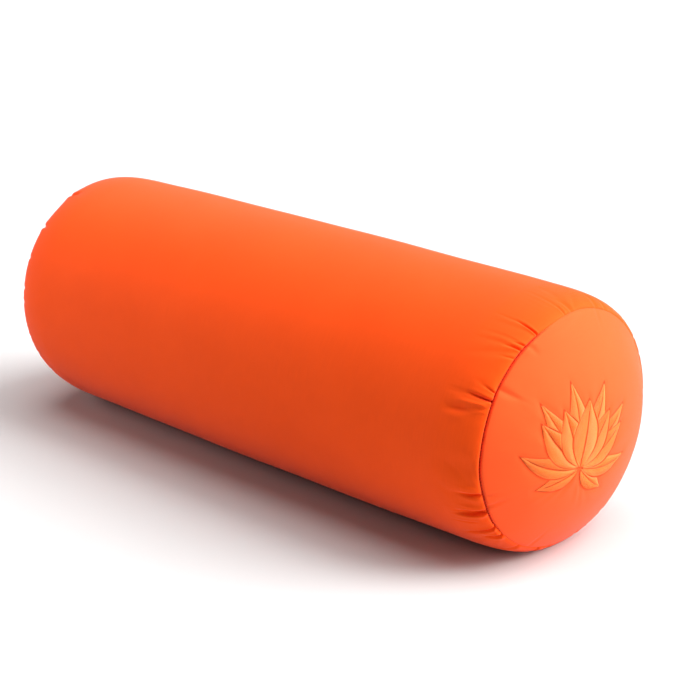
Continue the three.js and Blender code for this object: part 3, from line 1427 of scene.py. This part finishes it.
@dataclass
class TubePanel:
    """The tube panel over its filling, gathered at both ends.

    Attributes:
        roll: The roll's form.
        panels: The end panels that it is sewn to.
        reach: How far from the seams the cloth is simulated.
        columns: How many points a ring of its mesh has, but for the long seam's.
        crease_columns: How many more columns a degree has at a crease that shows.
        crease_stretch: Half width of the stretch that has them, in degrees.
        gathered_at: The angle where the near edge is gathered most.
        gathered_half: Half width of that stretch, in degrees.
        eased_share: What share of its fullness an edge keeps before it is drawn in elsewhere.
        angle_step: How finely the turn is measured to share out the columns, in degrees.
        seam_margin: What is kept clear of other columns beside the long seam's, in degrees.
        gathered_steps: From one ring to the next, from the seam on, where the cloth is simulated.
        plain_steps: The same for the rest of the tube.
        under_panel: From the panels' outer face to the filling under them.
        under_rows: How many rings close the filling under a panel.
        under_start: How far from the panel's seam the outermost of them lies.
        under_stop: How far from it the innermost lies, as a share of the panel's section.
        lump_height: How uneven the filling is.
        groove: The groove along the end seams.
        long_seam: The seam along the tube.
    """

    roll: RollShape
    panels: dict[End, EndPanel]
    reach: float = 0.042
    columns: int = 600
    crease_columns: float = 2.5
    crease_stretch: float = 1.6
    gathered_at: float = 165.0
    gathered_half: float = 75.0
    eased_share: float = 0.2
    angle_step: float = 0.05
    seam_margin: float = 0.2
    gathered_steps: Steps = Steps(first=0.00025, growth=1.16, largest=0.0024)
    plain_steps: Steps = Steps(first=0.0024, growth=1.2, largest=0.009)
    under_panel: float = 0.0026
    under_rows: int = 10
    under_start: float = 0.002
    under_stop: float = 0.97
    lump_height: float = 0.00035
    groove: SeamGroove = field(default_factory=SeamGroove)
    long_seam: LongSeam = field(default_factory=LongSeam)

    @cached_property
    def edges(self) -> dict[End, SewnEdge]:
        """The gathered cloth at each end."""
        return {end: self._edge(end) for end in End}

    def surface(self, end: End, distances: Array, angles: Array) -> Array:
        """The tube's cloth round the roll's own axis, with x away from the roll's middle.

        Args:
            end: Which half of the tube.
            distances: From the end seam, in rising order.
            angles: Angles on the cloth.

        Returns:
            Points, one row for each distance and one column for each angle.
        """
        gathered = distances <= self.reach
        cloth = self.edges[end].sample(distances[gathered], angles)
        plain = self.roll.tube.at(distances[~gathered])[:, None, :]
        rings = np.concatenate([cloth, self.roll.round_place(plain, angles[None, :])])
        sunk = self.groove.sink(distances[:, None], angles[None, :])
        sunk += self.long_seam.sink(angles[None, :], rings[..., 0], self.roll.girth)
        sunk += self._lumps(distances, angles, end.value * rings[..., 0])
        return rings - self.roll.outward(self.roll.tube, distances, angles) * sunk[..., None]

    def build(self) -> bpy.types.Object:
        """Builds the closed, filled roll and dresses it in the tube's cotton.

        Returns:
            The piece.
        """
        angles = self._column_angles()
        near = self._half(End.NEAR, angles)
        far = self._half(End.FAR, angles)[:-1] * np.array([-1, 1, 1])
        rings = self.roll.lay(np.concatenate([near, far[::-1]]))
        piece = closed_rings("tube_panel", rings)
        self._map(piece, rings, angles)
        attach(piece, BODY)
        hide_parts("filled_roll")
        piece.data.materials.append(TUBE_COTTON.material())
        return piece

    def _edge(self, end: End) -> SewnEdge:
        """Gathers the cloth at one end.

        Args:
            end: Which end.

        Returns:
            The gathered cloth.
        """
        return SewnEdge(
            roll=self.roll,
            end=end,
            section=self.roll.tube,
            cut_radius=lambda distance, angle: self._cut_radius(end, distance, angle),
            fullness=Fullness(TUBE_GATHERINGS[end], self.roll.girth),
            inwards=False,
            reach=self.reach,
        )

    def _cut_radius(self, end: End, distance: Array, angle: Array) -> Array:
        """The radius of a ring before it is sewn, less where its edge was eased in smoothly.

        Args:
            end: Which end.
            distance: From the seam.
            angle: Angles on the cloth.

        Returns:
            The radii.
        """
        sewn = self.roll.tube.at(distance)[..., 1]
        share = self.eased_share + 0 * angle
        if end is End.NEAR:
            away = turned_between(angle, self.gathered_at)
            share = share + (1 - self.eased_share) * hump(away, self.gathered_half)
        return sewn + share * (self.roll.barrel_radius - sewn)

    def _column_angles(self) -> Array:
        """Shares the columns out round the roll.

        Returns:
            Their angles, closer together at the near creases and at the long seam.
        """
        steps = np.linspace(0, 360, round(360 / self.angle_step) + 1)
        extra = np.zeros(len(steps))
        fullness = self.edges[End.NEAR].fullness
        for crease in NEAR_TUBE.creases:
            centre = fullness.middle(crease) + crease.slant / 2
            stretch = self.crease_stretch + abs(crease.slant) / 2
            extra += self.crease_columns * hump(turned_between(steps, centre), stretch)
        density = 1 + np.minimum(extra, self.crease_columns)
        passed = np.concatenate([[0.0], np.cumsum((density[1:] + density[:-1]) / 2)])
        shared = np.interp(np.arange(self.columns) * passed[-1] / self.columns, passed, steps)
        seam = self.long_seam.fine_columns()
        before, after = seam[0] - self.seam_margin, seam[-1] + self.seam_margin
        clear = (shared < before) | (shared > after)
        return np.sort(np.concatenate([shared[clear], seam]))

    def _half(self, end: End, angles: Array) -> Array:
        """Builds one half of the roll.

        Args:
            end: Which half.
            angles: Angles on the cloth.

        Returns:
            Its rings, from under the end panel's middle to the roll's middle.
        """
        close = self.gathered_steps.distances(self.reach)
        rest = self.reach + self.plain_steps.distances(self.roll.tube.length - self.reach)[1:]
        rings = self.surface(end, np.concatenate([close, rest]), angles)
        return np.concatenate([self._under_panel(end, angles), rings])

    def _under_panel(self, end: End, angles: Array) -> Array:
        """Closes the roll under an end panel.

        Args:
            end: Which end.
            angles: Angles on the cloth.

        Returns:
            The rings, from the panel's middle to its seam.
        """
        panel = self.panels[end]
        stop = panel.dome.length * self.under_stop
        distances = np.linspace(self.under_start, stop, self.under_rows)
        outward = self.roll.outward(panel.dome, distances, angles)
        rings = panel.surface(distances, angles) - outward * self.under_panel
        return rings[::-1]

    def _lumps(self, distances: Array, angles: Array, x: Array) -> Array:
        """Soft unevenness of the filling, which fades towards the gathers.

        Args:
            distances: From the seam.
            angles: Angles on the cloth.
            x: Places along the roll.

        Returns:
            Depths, one row for each distance and one column for each angle.
        """
        turn = np.radians(angles)[None, :]
        lumps = sum(wave.at(turn, x) for wave in TUBE_WAVES)
        away_from_seam = smooth_step(self.reach / 2, 2 * self.reach, distances)[:, None]
        return self.lump_height * lumps * away_from_seam

    def _map(self, piece: bpy.types.Object, rings: Array, angles: Array) -> None:
        """Maps the tube as a flat cloth, its width round the roll and its length along it.

        Args:
            piece: The tube.
            rings: Its rings, one row each.
            angles: Angles on the cloth.
        """
        rows, columns = rings.shape[:2]
        lengths = np.linalg.norm(np.diff(rings.mean(axis=1), axis=0), axis=1)
        along = np.concatenate([[0.0], np.cumsum(lengths)])
        around = np.append(angles, angles[0] + 360) * self.roll.girth / 360
        row = np.repeat(np.arange(rows - 1), columns)
        column = np.tile(np.arange(columns), rows - 1)
        corners = ((0, 0), (1, 0), (1, 1), (0, 1))
        spots = [np.stack([around[column + c], along[row + r]], axis=-1) for r, c in corners]
        caps = np.zeros((2 * 3 * columns, 2))
        add_cloth_map(piece, np.concatenate([np.stack(spots, axis=1).reshape(-1, 2), caps]))


@dataclass
class ThreadWork:
    """Threads gathered into one piece, each a slim round strand with closed ends.

    Attributes:
        name: The piece's name.
        slot: Its material slot in the part's record; not used.
        finish: How the thread looks.
        sides: How many sides a strand has.
        vertices: The strands' points so far.
        faces: Their faces so far.
        count: How many points there are so far.
    """

    name: str
    slot: str
    finish: ThreadFinish
    sides: int = 5
    vertices: list[Array] = field(default_factory=list)
    faces: list[list[int]] = field(default_factory=list)
    count: int = 0

    def add(self, paths: Array, normals: Array, across: Array, high: Array) -> None:
        """Adds strands that all have the same number of points.

        Args:
            paths: Strands by points by coordinates, along the strands' middles.
            normals: Directions away from the cloth at those points.
            across: Half the strands' width at each of their points.
            high: Half the strands' height at each of their points.
        """
        strands, points = paths.shape[:2]
        along = np.gradient(paths, axis=1)
        along /= np.linalg.norm(along, axis=2, keepdims=True)
        aside = np.cross(along, normals)
        aside /= np.linalg.norm(aside, axis=2, keepdims=True)
        up = np.cross(aside, along)
        turn = np.arange(self.sides) * math.tau / self.sides
        width = (across[..., None] * np.cos(turn))[..., None]
        height = (high[..., None] * np.sin(turn))[..., None]
        rings = paths[:, :, None] + aside[:, :, None] * width + up[:, :, None] * height
        self.vertices.append(rings.reshape(-1, 3))
        walls = ring_faces(points, self.sides, flipped=True)
        start = list(range(self.sides))
        last = (points - 1) * self.sides
        finish = [last + corner for corner in reversed(start)]
        for strand in range(strands):
            base = self.count + strand * points * self.sides
            self.faces.extend((walls + base).tolist())
            self.faces.append([base + corner for corner in start])
            self.faces.append([base + corner for corner in finish])
        self.count += strands * points * self.sides

    def build(self) -> bpy.types.Object:
        """Joins the strands.

        Returns:
            The piece.
        """
        piece = new_object(self.name, np.concatenate(self.vertices), self.faces)
        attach(piece, BODY)
        piece.data.materials.append(self.finish.material())
        return piece


@dataclass
class SeamStitches:
    """The stitches that show across the end seams and the long seam, in a dark thread that also stands
    for painted shade down in the seams' grooves.

    Attributes:
        tube: The tube panel.
        panels: The end panels that it is sewn to.
        pitch: From one stitch to the next.
        bite: How far from the seam a stitch enters the cloth.
        thread_half: Half the thread's thickness.
        drop: How deep a stitch's middle lies under the cloth's edges.
        dive: How much deeper its ends lie, in half thicknesses of the thread.
    """

    tube: TubePanel
    panels: dict[End, EndPanel]
    pitch: float = 0.0028
    bite: float = 0.0009
    thread_half: float = 0.00022
    drop: float = 0.0006
    dive: float = 2.0

    def build(self) -> bpy.types.Object:
        """Builds the stitches of all the seams as one piece.

        Returns:
            The piece.
        """
        # The stitches' dark thread is partly painted shade in the grooves.
        work = ThreadWork("seam_stitches_and_painted_shade", "seam_thread", SEAM_THREAD_AND_PAINTED_SHADE)
        for end in End:
            self._across_end_seam(work, end)
            self._across_long_seam(work, end)
        return work.build()

    def _across_end_seam(self, work: ThreadWork, end: End) -> None:
        """Adds the stitches of one end seam.

        Args:
            work: The piece that they are added to.
            end: Which end.
        """
        roll = self.tube.roll
        stitches = round(math.tau * roll.seam_radius / self.pitch)
        angles = np.arange(stitches) * 360 / stitches
        bite = np.array([self.bite])
        from_tube = self.tube.surface(end, bite, angles)[0]
        onto_panel = self.panels[end].surface(bite, angles)[0]
        outward = roll.outward(roll.dome(end), bite, angles)[0]
        self._add(work, end, from_tube, onto_panel, outward)

    def _across_long_seam(self, work: ThreadWork, end: End) -> None:
        """Adds the stitches of one half of the long seam.

        Args:
            work: The piece that they are added to.
            end: Which half.
        """
        roll = self.tube.roll
        seam = self.tube.long_seam
        distances = np.arange(self.pitch, roll.tube.length, self.pitch)
        turn = self.bite / roll.girth * 360
        angles = np.array([seam.at - turn, seam.at, seam.at + turn])
        rows = self.tube.surface(end, distances, angles)
        outward = roll.outward(roll.tube, distances, angles)[:, 1]
        self._add(work, end, rows[:, 0], rows[:, 2], outward)

    def _add(self, work: ThreadWork, end: End, start: Array, stop: Array, outward: Array) -> None:
        """Adds one stitch from each start to its stop, a little under the cloth's surface.

        Args:
            work: The piece that they are added to.
            end: Which half of the roll they lie on.
            start: Points round the roll's own axis.
            stop: Points, one for each start.
            outward: Directions out of the roll there.
        """
        share = np.array([0.0, 0.5, 1.0])[None, :, None]
        paths = start[:, None] * (1 - share) + stop[:, None] * share
        arch = np.array([self.dive, 0.0, self.dive])[None, :, None] * self.thread_half
        paths = paths - outward[:, None] * (arch + self.drop)
        mirror = np.array([end.value, 1, 1])
        normals = np.repeat((outward * mirror)[:, None], paths.shape[1], axis=1)
        laid = self.tube.roll.lay(paths * mirror)
        half = np.full(laid.shape[:2], self.thread_half)
        work.add(laid, normals, half, half)


# How finely a petal's middle is followed, and its outline where it hides others
SPINE_STEPS = 100
COVER_POINTS = 40
# What a level stretch of that outline is taken to rise
LEAST_RISE = 1e-9


@dataclass(frozen=True)
class Petal:
    """A petal on the flower's own plane, u across and v up from the flower's foot.

    Attributes:
        lean: Degrees from upright where it starts, towards +u.
        length: Along its middle.
        width: Where it is widest.
        curl: Degrees that it turns further by its tip.
        start: How far from the foot it starts.
        fullest: Power that moves its widest place, below 1 towards its start.
        tapered: How much slimmer it is made towards its tip.
    """

    lean: float
    length: float
    width: float
    curl: float = 0.0
    start: float = 0.0
    fullest: float = 0.9
    tapered: float = 0.3

    def mirrored(self) -> "Petal":
        """The same petal on the other side of the flower."""
        return replace(self, lean=-self.lean, curl=-self.curl)

    def spine(self, share: Array) -> Array:
        """Follows the petal's middle.

        Args:
            share: How far along it, from 0 at its start to 1 at its tip.

        Returns:
            The (u, v) points.
        """
        steps = np.linspace(0, 1, SPINE_STEPS + 1)
        turn = np.radians(self.lean + self.curl * steps)
        ahead = np.stack([np.sin(turn), np.cos(turn)], axis=-1)
        moves = (ahead[1:] + ahead[:-1]) / (2 * SPINE_STEPS)
        way = np.concatenate([[[0, 0]], np.cumsum(moves, axis=0)])
        points = way * self.length + ahead[0] * self.start
        return np.stack([np.interp(share, steps, column) for column in points.T], axis=-1)

    def aside(self, share: Array) -> Array:
        """Directions from the petal's middle to its right side."""
        turn = np.radians(self.lean + self.curl * share)
        return np.stack([np.cos(turn), -np.sin(turn)], axis=-1)

    def edge(self, share: Array, side: int) -> Array:
        """Follows one edge of the petal.

        Args:
            share: How far along its middle, from 0 to 1.
            side: 1 for the right and -1 for the left.

        Returns:
            The (u, v) points.
        """
        taper = 1 - self.tapered * share**3
        swell = np.sin(math.pi * np.clip(share, 0, 1) ** self.fullest) * taper
        half = self.width / 2 * swell[..., None]
        return self.spine(share) + side * half * self.aside(share)

    def outline(self, points: int) -> Array:
        """The closed outline, up the right edge and down the left."""
        share = np.linspace(0, 1, points)
        return np.concatenate([self.edge(share, 1), self.edge(share[::-1], -1)[1:-1]])

    def covers(self, spots: Array) -> Array:
        """Finds the spots that lie inside the petal.

        Args:
            spots: Spots (u, v).

        Returns:
            True for each that does.
        """
        corners = self.outline(COVER_POINTS)
        following = np.roll(corners, -1, axis=0)
        u, v = spots[..., 0, None], spots[..., 1, None]
        crosses = (corners[:, 1] > v) != (following[:, 1] > v)
        rise = following[:, 1] - corners[:, 1]
        rise = np.where(np.abs(rise) < LEAST_RISE, LEAST_RISE, rise)
        meets = corners[:, 0] + (v - corners[:, 1]) / rise * (following[:, 0] - corners[:, 0])
        return (crosses & (u < meets)).sum(axis=-1) % 2 == 1


# Where along a strand its points lie, how high over the cloth, and how wide it is there
SATIN_SHARES = np.array([0.0, 0.11, 0.5, 0.89, 1.0])
SATIN_LIFT = np.array([-0.6, 0.8, 1.1, 0.8, -0.6])
SATIN_TAPER = np.array([0.5, 1.0, 1.0, 1.0, 0.5])
STEM_LIFT = np.array([-0.3, 1.3, 1.3, -0.3])
STEM_TAPER = np.array([0.6, 1.0, 1.0, 0.6])
# How many spots are looked at along a strand and along a line, to find what shows
SATIN_SAMPLES = 31
LINE_POINTS = 140


@dataclass
class Flower:
    """A lotus in satin stitch on the near end panel, with stem-stitched outlines in dark thread, which
    also stand for painted shadow along the petals' edges.

    Attributes:
        foot: The (y, z) place from which the petals spread.
        tilt: Degrees by which the flower leans towards +y.
        size: How much larger it is sewn than its petals are drawn.
        reach: A distance from the foot within which it all lies.
        row_pitch: From one satin strand to the next along a petal.
        strand_across: Half a strand's width.
        strand_high: Half its height.
        shortest: The shortest satin strand that is sewn.
        padding: How high the strands lie over the cloth.
        slant: How much further up the petal a strand ends than it starts, as a share of the rest.
        fill_end: Where up the petal the last strand starts, as a share.
        fill_margins: Where a strand starts and ends between the vein and the edge, as shares.
        stem_half: Half the thickness of an outline stitch.
        stitch_length: How long an outline stitch is.
        stitch_advance: From one outline stitch to the next, as a share of its length.
        vein_end: Where up the petal its vein ends, as a share.
        pull_depth: How deep the outlines pull the cloth in.
        pull_reach: How far that pull reaches.
        pucker_depth: How deep the puckers round the flower are.
        pucker_reach: How far they reach from it.
        puckers: How many there are in a whole turn.
        pucker_drift: How far they drift from even places, in radians.
        drifts: How often they do so in a whole turn.
        pull_points: How many points of an edge of a petal pull on the cloth.
    """

    foot: tuple[float, float] = (-0.025, 0.088)
    tilt: float = 12.0
    size: float = 1.08
    reach: float = 0.1
    row_pitch: float = 0.00042
    strand_across: float = 0.00023
    strand_high: float = 0.00016
    shortest: float = 0.0007
    padding: float = 0.00030
    slant: float = 0.10
    fill_end: float = 0.94
    fill_margins: tuple[float, float] = (0.02, 0.97)
    stem_half: float = 0.00017
    stitch_length: float = 0.0030
    stitch_advance: float = 0.72
    vein_end: float = 0.82
    pull_depth: float = 0.0005
    pull_reach: float = 0.0030
    pucker_depth: float = 0.00035
    pucker_reach: float = 0.012
    puckers: int = 17
    pucker_drift: float = 2.0
    drifts: int = 5
    pull_points: int = 24

    @cached_property
    def petals(self) -> list[Petal]:
        """The petals.

        Returns:
            The front petal first, and those at the back last.
        """
        pairs = [
            Petal(lean=31, length=0.049, width=0.0235, curl=-5, start=0.001),
            Petal(lean=62, length=0.052, width=0.0215, curl=-22, start=0.002),
            Petal(lean=98, length=0.052, width=0.0165, curl=-36, start=0.003),
            Petal(lean=14, length=0.064, width=0.020, curl=3, start=0.002),
            Petal(lean=46, length=0.062, width=0.019, curl=-8, start=0.002),
            Petal(lean=128, length=0.036, width=0.0150, curl=-22, start=0.002),
        ]
        front = Petal(lean=0, length=0.052, width=0.0265)
        return [front, *(petal for pair in pairs for petal in (pair.mirrored(), pair))]

    def place(self, spots: Array) -> tuple[Array, Array]:
        """Places spots of the flower's plane on the panel.

        Args:
            spots: Spots (u, v).

        Returns:
            Their y and their z.
        """
        turn = math.radians(self.tilt)
        u, v = spots[..., 0] * self.size, spots[..., 1] * self.size
        y = self.foot[0] + u * math.cos(turn) + v * math.sin(turn)
        z = self.foot[1] - u * math.sin(turn) + v * math.cos(turn)
        return y, z

    def pull(self, y: Array, z: Array) -> Array:
        """Works out how deep the stitches pull the cloth in.

        Args:
            y: Places across the cloth.
            z: Their heights.

        Returns:
            Depths, one for each place.
        """
        outlines = np.concatenate([petal.outline(self.pull_points) for petal in self.petals])
        at_y, at_z = self.place(outlines)
        depth = np.zeros(y.shape)
        close = np.hypot(y - self.foot[0], z - self.foot[1]) < self.reach
        away_y = y[close][:, None] - at_y
        away_z = z[close][:, None] - at_z
        nearest = np.sqrt((away_y**2 + away_z**2).min(axis=1))
        turn = np.arctan2(z[close] - self.foot[1], y[close] - self.foot[0])
        uneven = self.pucker_drift * np.sin(self.drifts * turn)
        waves = 0.5 + 0.5 * np.sin(self.puckers * turn + uneven)
        depth[close] = self.pull_depth * hump(nearest, self.pull_reach)
        depth[close] += self.pucker_depth * waves * hump(nearest, self.pucker_reach)
        return depth

    def build(self, panel: bpy.types.Object) -> list[bpy.types.Object]:
        """Embroiders the panel.

        Args:
            panel: The end panel's cloth.

        Returns:
            The satin-stitched petals and their outlines.
        """
        mesh = panel.data
        points = [vertex.co for vertex in mesh.vertices]
        cloth = BVHTree.FromPolygons(points, [polygon.vertices for polygon in mesh.polygons])
        satin = ThreadWork("lotus_satin", "embroidery_thread", EMBROIDERY_THREAD)
        # Outlines and veins in dark thread, partly painted shadow at the petals' edges.
        lines = ThreadWork("lotus_outlines_and_painted_shadow", "outline_thread", OUTLINE_THREAD_AND_PAINTED_SHADOW)
        for number, petal in enumerate(self.petals):
            in_front = self.petals[:number]
            for side in (-1, 1):
                self._fill(satin, cloth, petal, side, in_front)
                self._stitch_line(lines, cloth, self._edge_line(petal, side), in_front)
            self._stitch_line(lines, cloth, self._vein_line(petal), in_front)
        return [satin.build(), lines.build()]

    def _fill(
        self, work: ThreadWork, cloth: BVHTree, petal: Petal, side: int, in_front: list[Petal]
    ) -> None:
        """Fills half a petal with satin strands that slant from its vein to its edge.

        Args:
            work: The piece that they are added to.
            cloth: The panel's faces.
            petal: The petal.
            side: 1 for its right half and -1 for its left.
            in_front: The petals in front of it.
        """
        rows = round(petal.length / self.row_pitch)
        start = np.linspace(0.0, self.fill_end, rows)
        stop = start + self.slant * (1 - start) + self.fill_margins[0]
        vein = petal.spine(start)[:, None]
        edge = petal.edge(stop, side)[:, None]
        share = np.linspace(*self.fill_margins, SATIN_SAMPLES)[None, :, None]
        spots = vein * (1 - share) + edge * share
        spots = self._shown_part(spots, self._hidden(spots, in_front))
        spots = spots[np.linalg.norm(spots[:, -1] - spots[:, 0], axis=-1) > self.shortest]
        if len(spots) == 0:
            return
        paths, normals = self._on_cloth(cloth, spots, self.padding * SATIN_LIFT)
        taper = SATIN_TAPER + np.zeros(paths.shape[:2])
        work.add(paths, normals, self.strand_across * taper, self.strand_high * taper)

    @staticmethod
    def _hidden(spots: Array, in_front: list[Petal]) -> Array:
        """Finds the spots that lie under the petals in front.

        Args:
            spots: Spots (u, v).
            in_front: Those petals.

        Returns:
            True for each that does.
        """
        hidden = np.zeros(spots.shape[:-1], bool)
        for petal in in_front:
            hidden |= petal.covers(spots)
        return hidden

    @staticmethod
    def _shown_part(spots: Array, hidden: Array) -> Array:
        """Keeps each strand's last run of shown spots.

        Args:
            spots: Strands by spots.
            hidden: Whether each spot is hidden.

        Returns:
            Strands by points, spread out again over what is kept.
        """
        share = SATIN_SHARES[:, None]
        parts = []
        for strand, covered in zip(spots, hidden):
            shown = np.flatnonzero(~covered)
            if len(shown) < 2:
                continue
            breaks = np.flatnonzero(np.diff(shown) > 1)
            first = shown[breaks[-1] + 1] if len(breaks) else shown[0]
            if shown[-1] > first:
                parts.append(strand[first] * (1 - share) + strand[shown[-1]] * share)
        return np.array(parts) if parts else np.zeros((0, len(share), 2))

    @staticmethod
    def _edge_line(petal: Petal, side: int) -> Array:
        """Closely spaced spots along one edge of a petal."""
        return petal.edge(np.linspace(0, 1, LINE_POINTS), side)

    def _vein_line(self, petal: Petal) -> Array:
        """Closely spaced spots along a petal's middle, short of its tip."""
        return petal.spine(np.linspace(0, self.vein_end, LINE_POINTS))

    def _stitch_line(self, work: ThreadWork, cloth: BVHTree, line: Array, in_front: list[Petal]) -> None:
        """Sews stem stitches along a line, where no petal in front hides them.

        Args:
            work: The piece that they are added to.
            cloth: The panel's faces.
            line: Closely spaced spots along it.
            in_front: The petals in front of it.
        """
        steps = np.linalg.norm(np.diff(line, axis=0), axis=1)
        way = np.concatenate([[0.0], np.cumsum(steps)])
        advance = self.stitch_length * self.stitch_advance
        starts = np.arange(0, way[-1] - self.stitch_length / 2, advance)
        share = np.linspace(0, 1, len(STEM_LIFT))
        at = np.minimum(starts[:, None] + share * self.stitch_length, way[-1])
        spots = np.stack([np.interp(at, way, column) for column in line.T], axis=-1)
        shown = ~self._hidden(spots, in_front).any(axis=1)
        spots = spots[shown]
        if len(spots) == 0:
            return
        paths, normals = self._on_cloth(cloth, spots, self.padding * STEM_LIFT)
        half = self.stem_half * STEM_TAPER + np.zeros(paths.shape[:2])
        work.add(paths, normals, half, half)

    def _on_cloth(self, cloth: BVHTree, spots: Array, lift: Array) -> tuple[Array, Array]:
        """Lays spots of the flower's plane on the cloth.

        Args:
            cloth: The panel's faces.
            spots: Strands by points on the flower's plane.
            lift: Height over the cloth at each point of a strand.

        Returns:
            The points, and the cloth's directions there.
        """
        y, z = self.place(spots)
        points = np.empty((*y.shape, 3))
        normals = np.empty((*y.shape, 3))
        inwards = Vector((-1.0, 0.0, 0.0))
        for index in np.ndindex(y.shape):
            outside = Vector((0.0, y[index], z[index])) - inwards
            hit, normal, _, _ = cloth.ray_cast(outside, inwards)
            points[index], normals[index] = hit, normal
        return points + normals * lift[None, :, None], normals


@dataclass(frozen=True)
class Lamp:
    """A soft light from one side.

    Attributes:
        name: The lamp's name.
        azimuth: Degrees round the object from its front, towards its near end.
        elevation: Degrees over the floor.
        strength: Its light on a surface that faces it.
        spread: How wide the lamp looks, in degrees.
    """

    name: str
    azimuth: float
    elevation: float
    strength: float
    spread: float


@dataclass(frozen=True)
class Softbox:
    """A soft light that stands near the object.

    Attributes:
        name: The light's name.
        place: Where it stands.
        power: How much light it gives.
        size: How wide it is.
    """

    name: str
    place: tuple[float, float, float]
    power: float
    size: float


@dataclass
class Studio:
    """A pale floor, soft lights and the camera at the photograph's angle.

    Attributes:
        roll: The roll's form.
        azimuth: Where the camera stands, in degrees round the object from its front.
        elevation: Where it stands, in degrees over the point that it is set up on.
        distance: How far from that point it stands.
        aim_height: How high that point lies.
        pan: Degrees by which it is turned aside from that point.
        tilt: Degrees by which it is tipped from that point.
        lens: Its focal length, in millimetres.
        room_light: How strong the room's even light is.
        softbox: The light beside the object.
        lamps: The lights from behind and above.
    """

    roll: RollShape
    azimuth: float = 45.195
    elevation: float = 18.796
    distance: float = 1.696
    aim_height: float = 0.1089
    pan: float = -0.9375
    tilt: float = -0.1278
    lens: float = 100.26
    room_light: float = 0.04
    softbox: Softbox = Softbox("fill_softbox", place=(-0.80, -0.60, 0.40), power=2.8, size=0.5)
    lamps: tuple[Lamp, ...] = (
        Lamp("back_lamp", azimuth=135, elevation=45, strength=4.8, spread=50),
        Lamp("low_lamp", azimuth=128, elevation=12, strength=4.2, spread=50),
        Lamp("top_lamp", azimuth=0, elevation=90, strength=2.3, spread=50),
    )

    def build(self) -> None:
        """Builds the floor, the lights, the surroundings and the camera."""
        self._floor()
        self._surroundings()
        for lamp in self.lamps:
            self._hang(lamp)
        self._stand(self.softbox)
        self._camera()

    @staticmethod
    def _away(azimuth: float, elevation: float) -> Vector:
        """Finds the direction from the object to a viewer.

        Args:
            azimuth: Degrees round the object from its front.
            elevation: Degrees over the floor.

        Returns:
            The direction.
        """
        turn, rise = math.radians(azimuth), math.radians(elevation)
        return Vector((
            math.sin(turn) * math.cos(rise),
            -math.cos(turn) * math.cos(rise),
            math.sin(rise),
        ))

    def _camera(self) -> None:
        """Places the camera."""
        data = bpy.data.cameras.new("camera")
        data.lens = self.lens
        data.clip_start = 0.05
        data.clip_end = 100
        aim = Vector((-self.roll.mid_shift, 0, self.aim_height))
        place = aim + self._away(self.azimuth, self.elevation) * self.distance
        towards = -self._away(self.azimuth + self.pan, self.elevation + self.tilt)
        bpy.context.scene.camera = self._point(data, place, towards)

    def _floor(self) -> None:
        """Lays a wide pale floor."""
        reach = 30.0
        corners = [(-reach, -reach, 0), (reach, -reach, 0), (reach, reach, 0), (-reach, reach, 0)]
        floor = new_object("floor", np.array(corners, float), [[0, 1, 2, 3]])
        floor.data.materials.append(FLOOR_PAINT.material())

    def _surroundings(self) -> None:
        """Gives the room a weak even light and a white backdrop, which only the camera sees."""
        world = bpy.data.worlds.new("studio")
        nodes = Nodes(world)
        seen = nodes.add("LightPath").outputs["Is Camera Ray"]
        strength = nodes.add("MapRange", {"Value": seen, "To Min": self.room_light, "To Max": 1.0})
        white = (1.0, 1.0, 1.0, 1.0)
        backdrop = nodes.add("Background", {"Color": white, "Strength": strength.outputs[0]})
        nodes.finish(backdrop)
        bpy.context.scene.world = world
        bpy.context.scene.view_settings.view_transform = "Standard"

    def _hang(self, lamp: Lamp) -> None:
        """Hangs one lamp, turned towards the object.

        Args:
            lamp: The lamp.
        """
        data = bpy.data.lights.new(lamp.name, "SUN")
        data.energy = lamp.strength
        data.angle = math.radians(lamp.spread)
        self._point(data, Vector((0, 0, 0)), -self._away(lamp.azimuth, lamp.elevation))

    def _stand(self, softbox: Softbox) -> None:
        """Stands the softbox beside the object, turned towards it.

        Args:
            softbox: The softbox.
        """
        data = bpy.data.lights.new(softbox.name, "AREA")
        data.energy = softbox.power
        data.size = softbox.size
        place = Vector(softbox.place)
        self._point(data, place, Vector((0, 0, self.aim_height)) - place)

    @staticmethod
    def _point(
        data: bpy.types.Light | bpy.types.Camera, place: Vector, towards: Vector
    ) -> bpy.types.Object:
        """Places a light or a camera and points it in a direction.

        Args:
            data: The light or the camera.
            place: Where it stands.
            towards: Where it looks.

        Returns:
            The object.
        """
        made = bpy.data.objects.new(data.name, data)
        made.location = place
        made.rotation_mode = "QUATERNION"
        made.rotation_quaternion = towards.to_track_quat("-Z", "Y")
        bpy.context.scene.collection.objects.link(made)
        return made


def main() -> None:
    """Builds the bolster's pieces in order and reports each one."""
    logging.basicConfig(level=logging.INFO, format="%(name)s: %(message)s")
    roll = RollShape()
    Studio(roll).build()
    flower = Flower()
    near_panel = EndPanel(roll, End.NEAR, "end_panel_near_cloth", "end_panel_near", flower)
    far_panel = EndPanel(roll, End.FAR, "end_panel_far_cloth", "end_panel_far")
    panels = {End.NEAR: near_panel, End.FAR: far_panel}
    tube = TubePanel(roll, panels)
    panel_cloth = near_panel.build()
    pieces = [
        tube.build(),
        panel_cloth,
        far_panel.build(),
        SeamStitches(tube, panels).build(),
        *flower.build(panel_cloth),
    ]
    for piece in pieces:
        LOG.info("%s: %d faces", piece.name, len(piece.data.polygons))


if __name__ == "__main__":
    main()
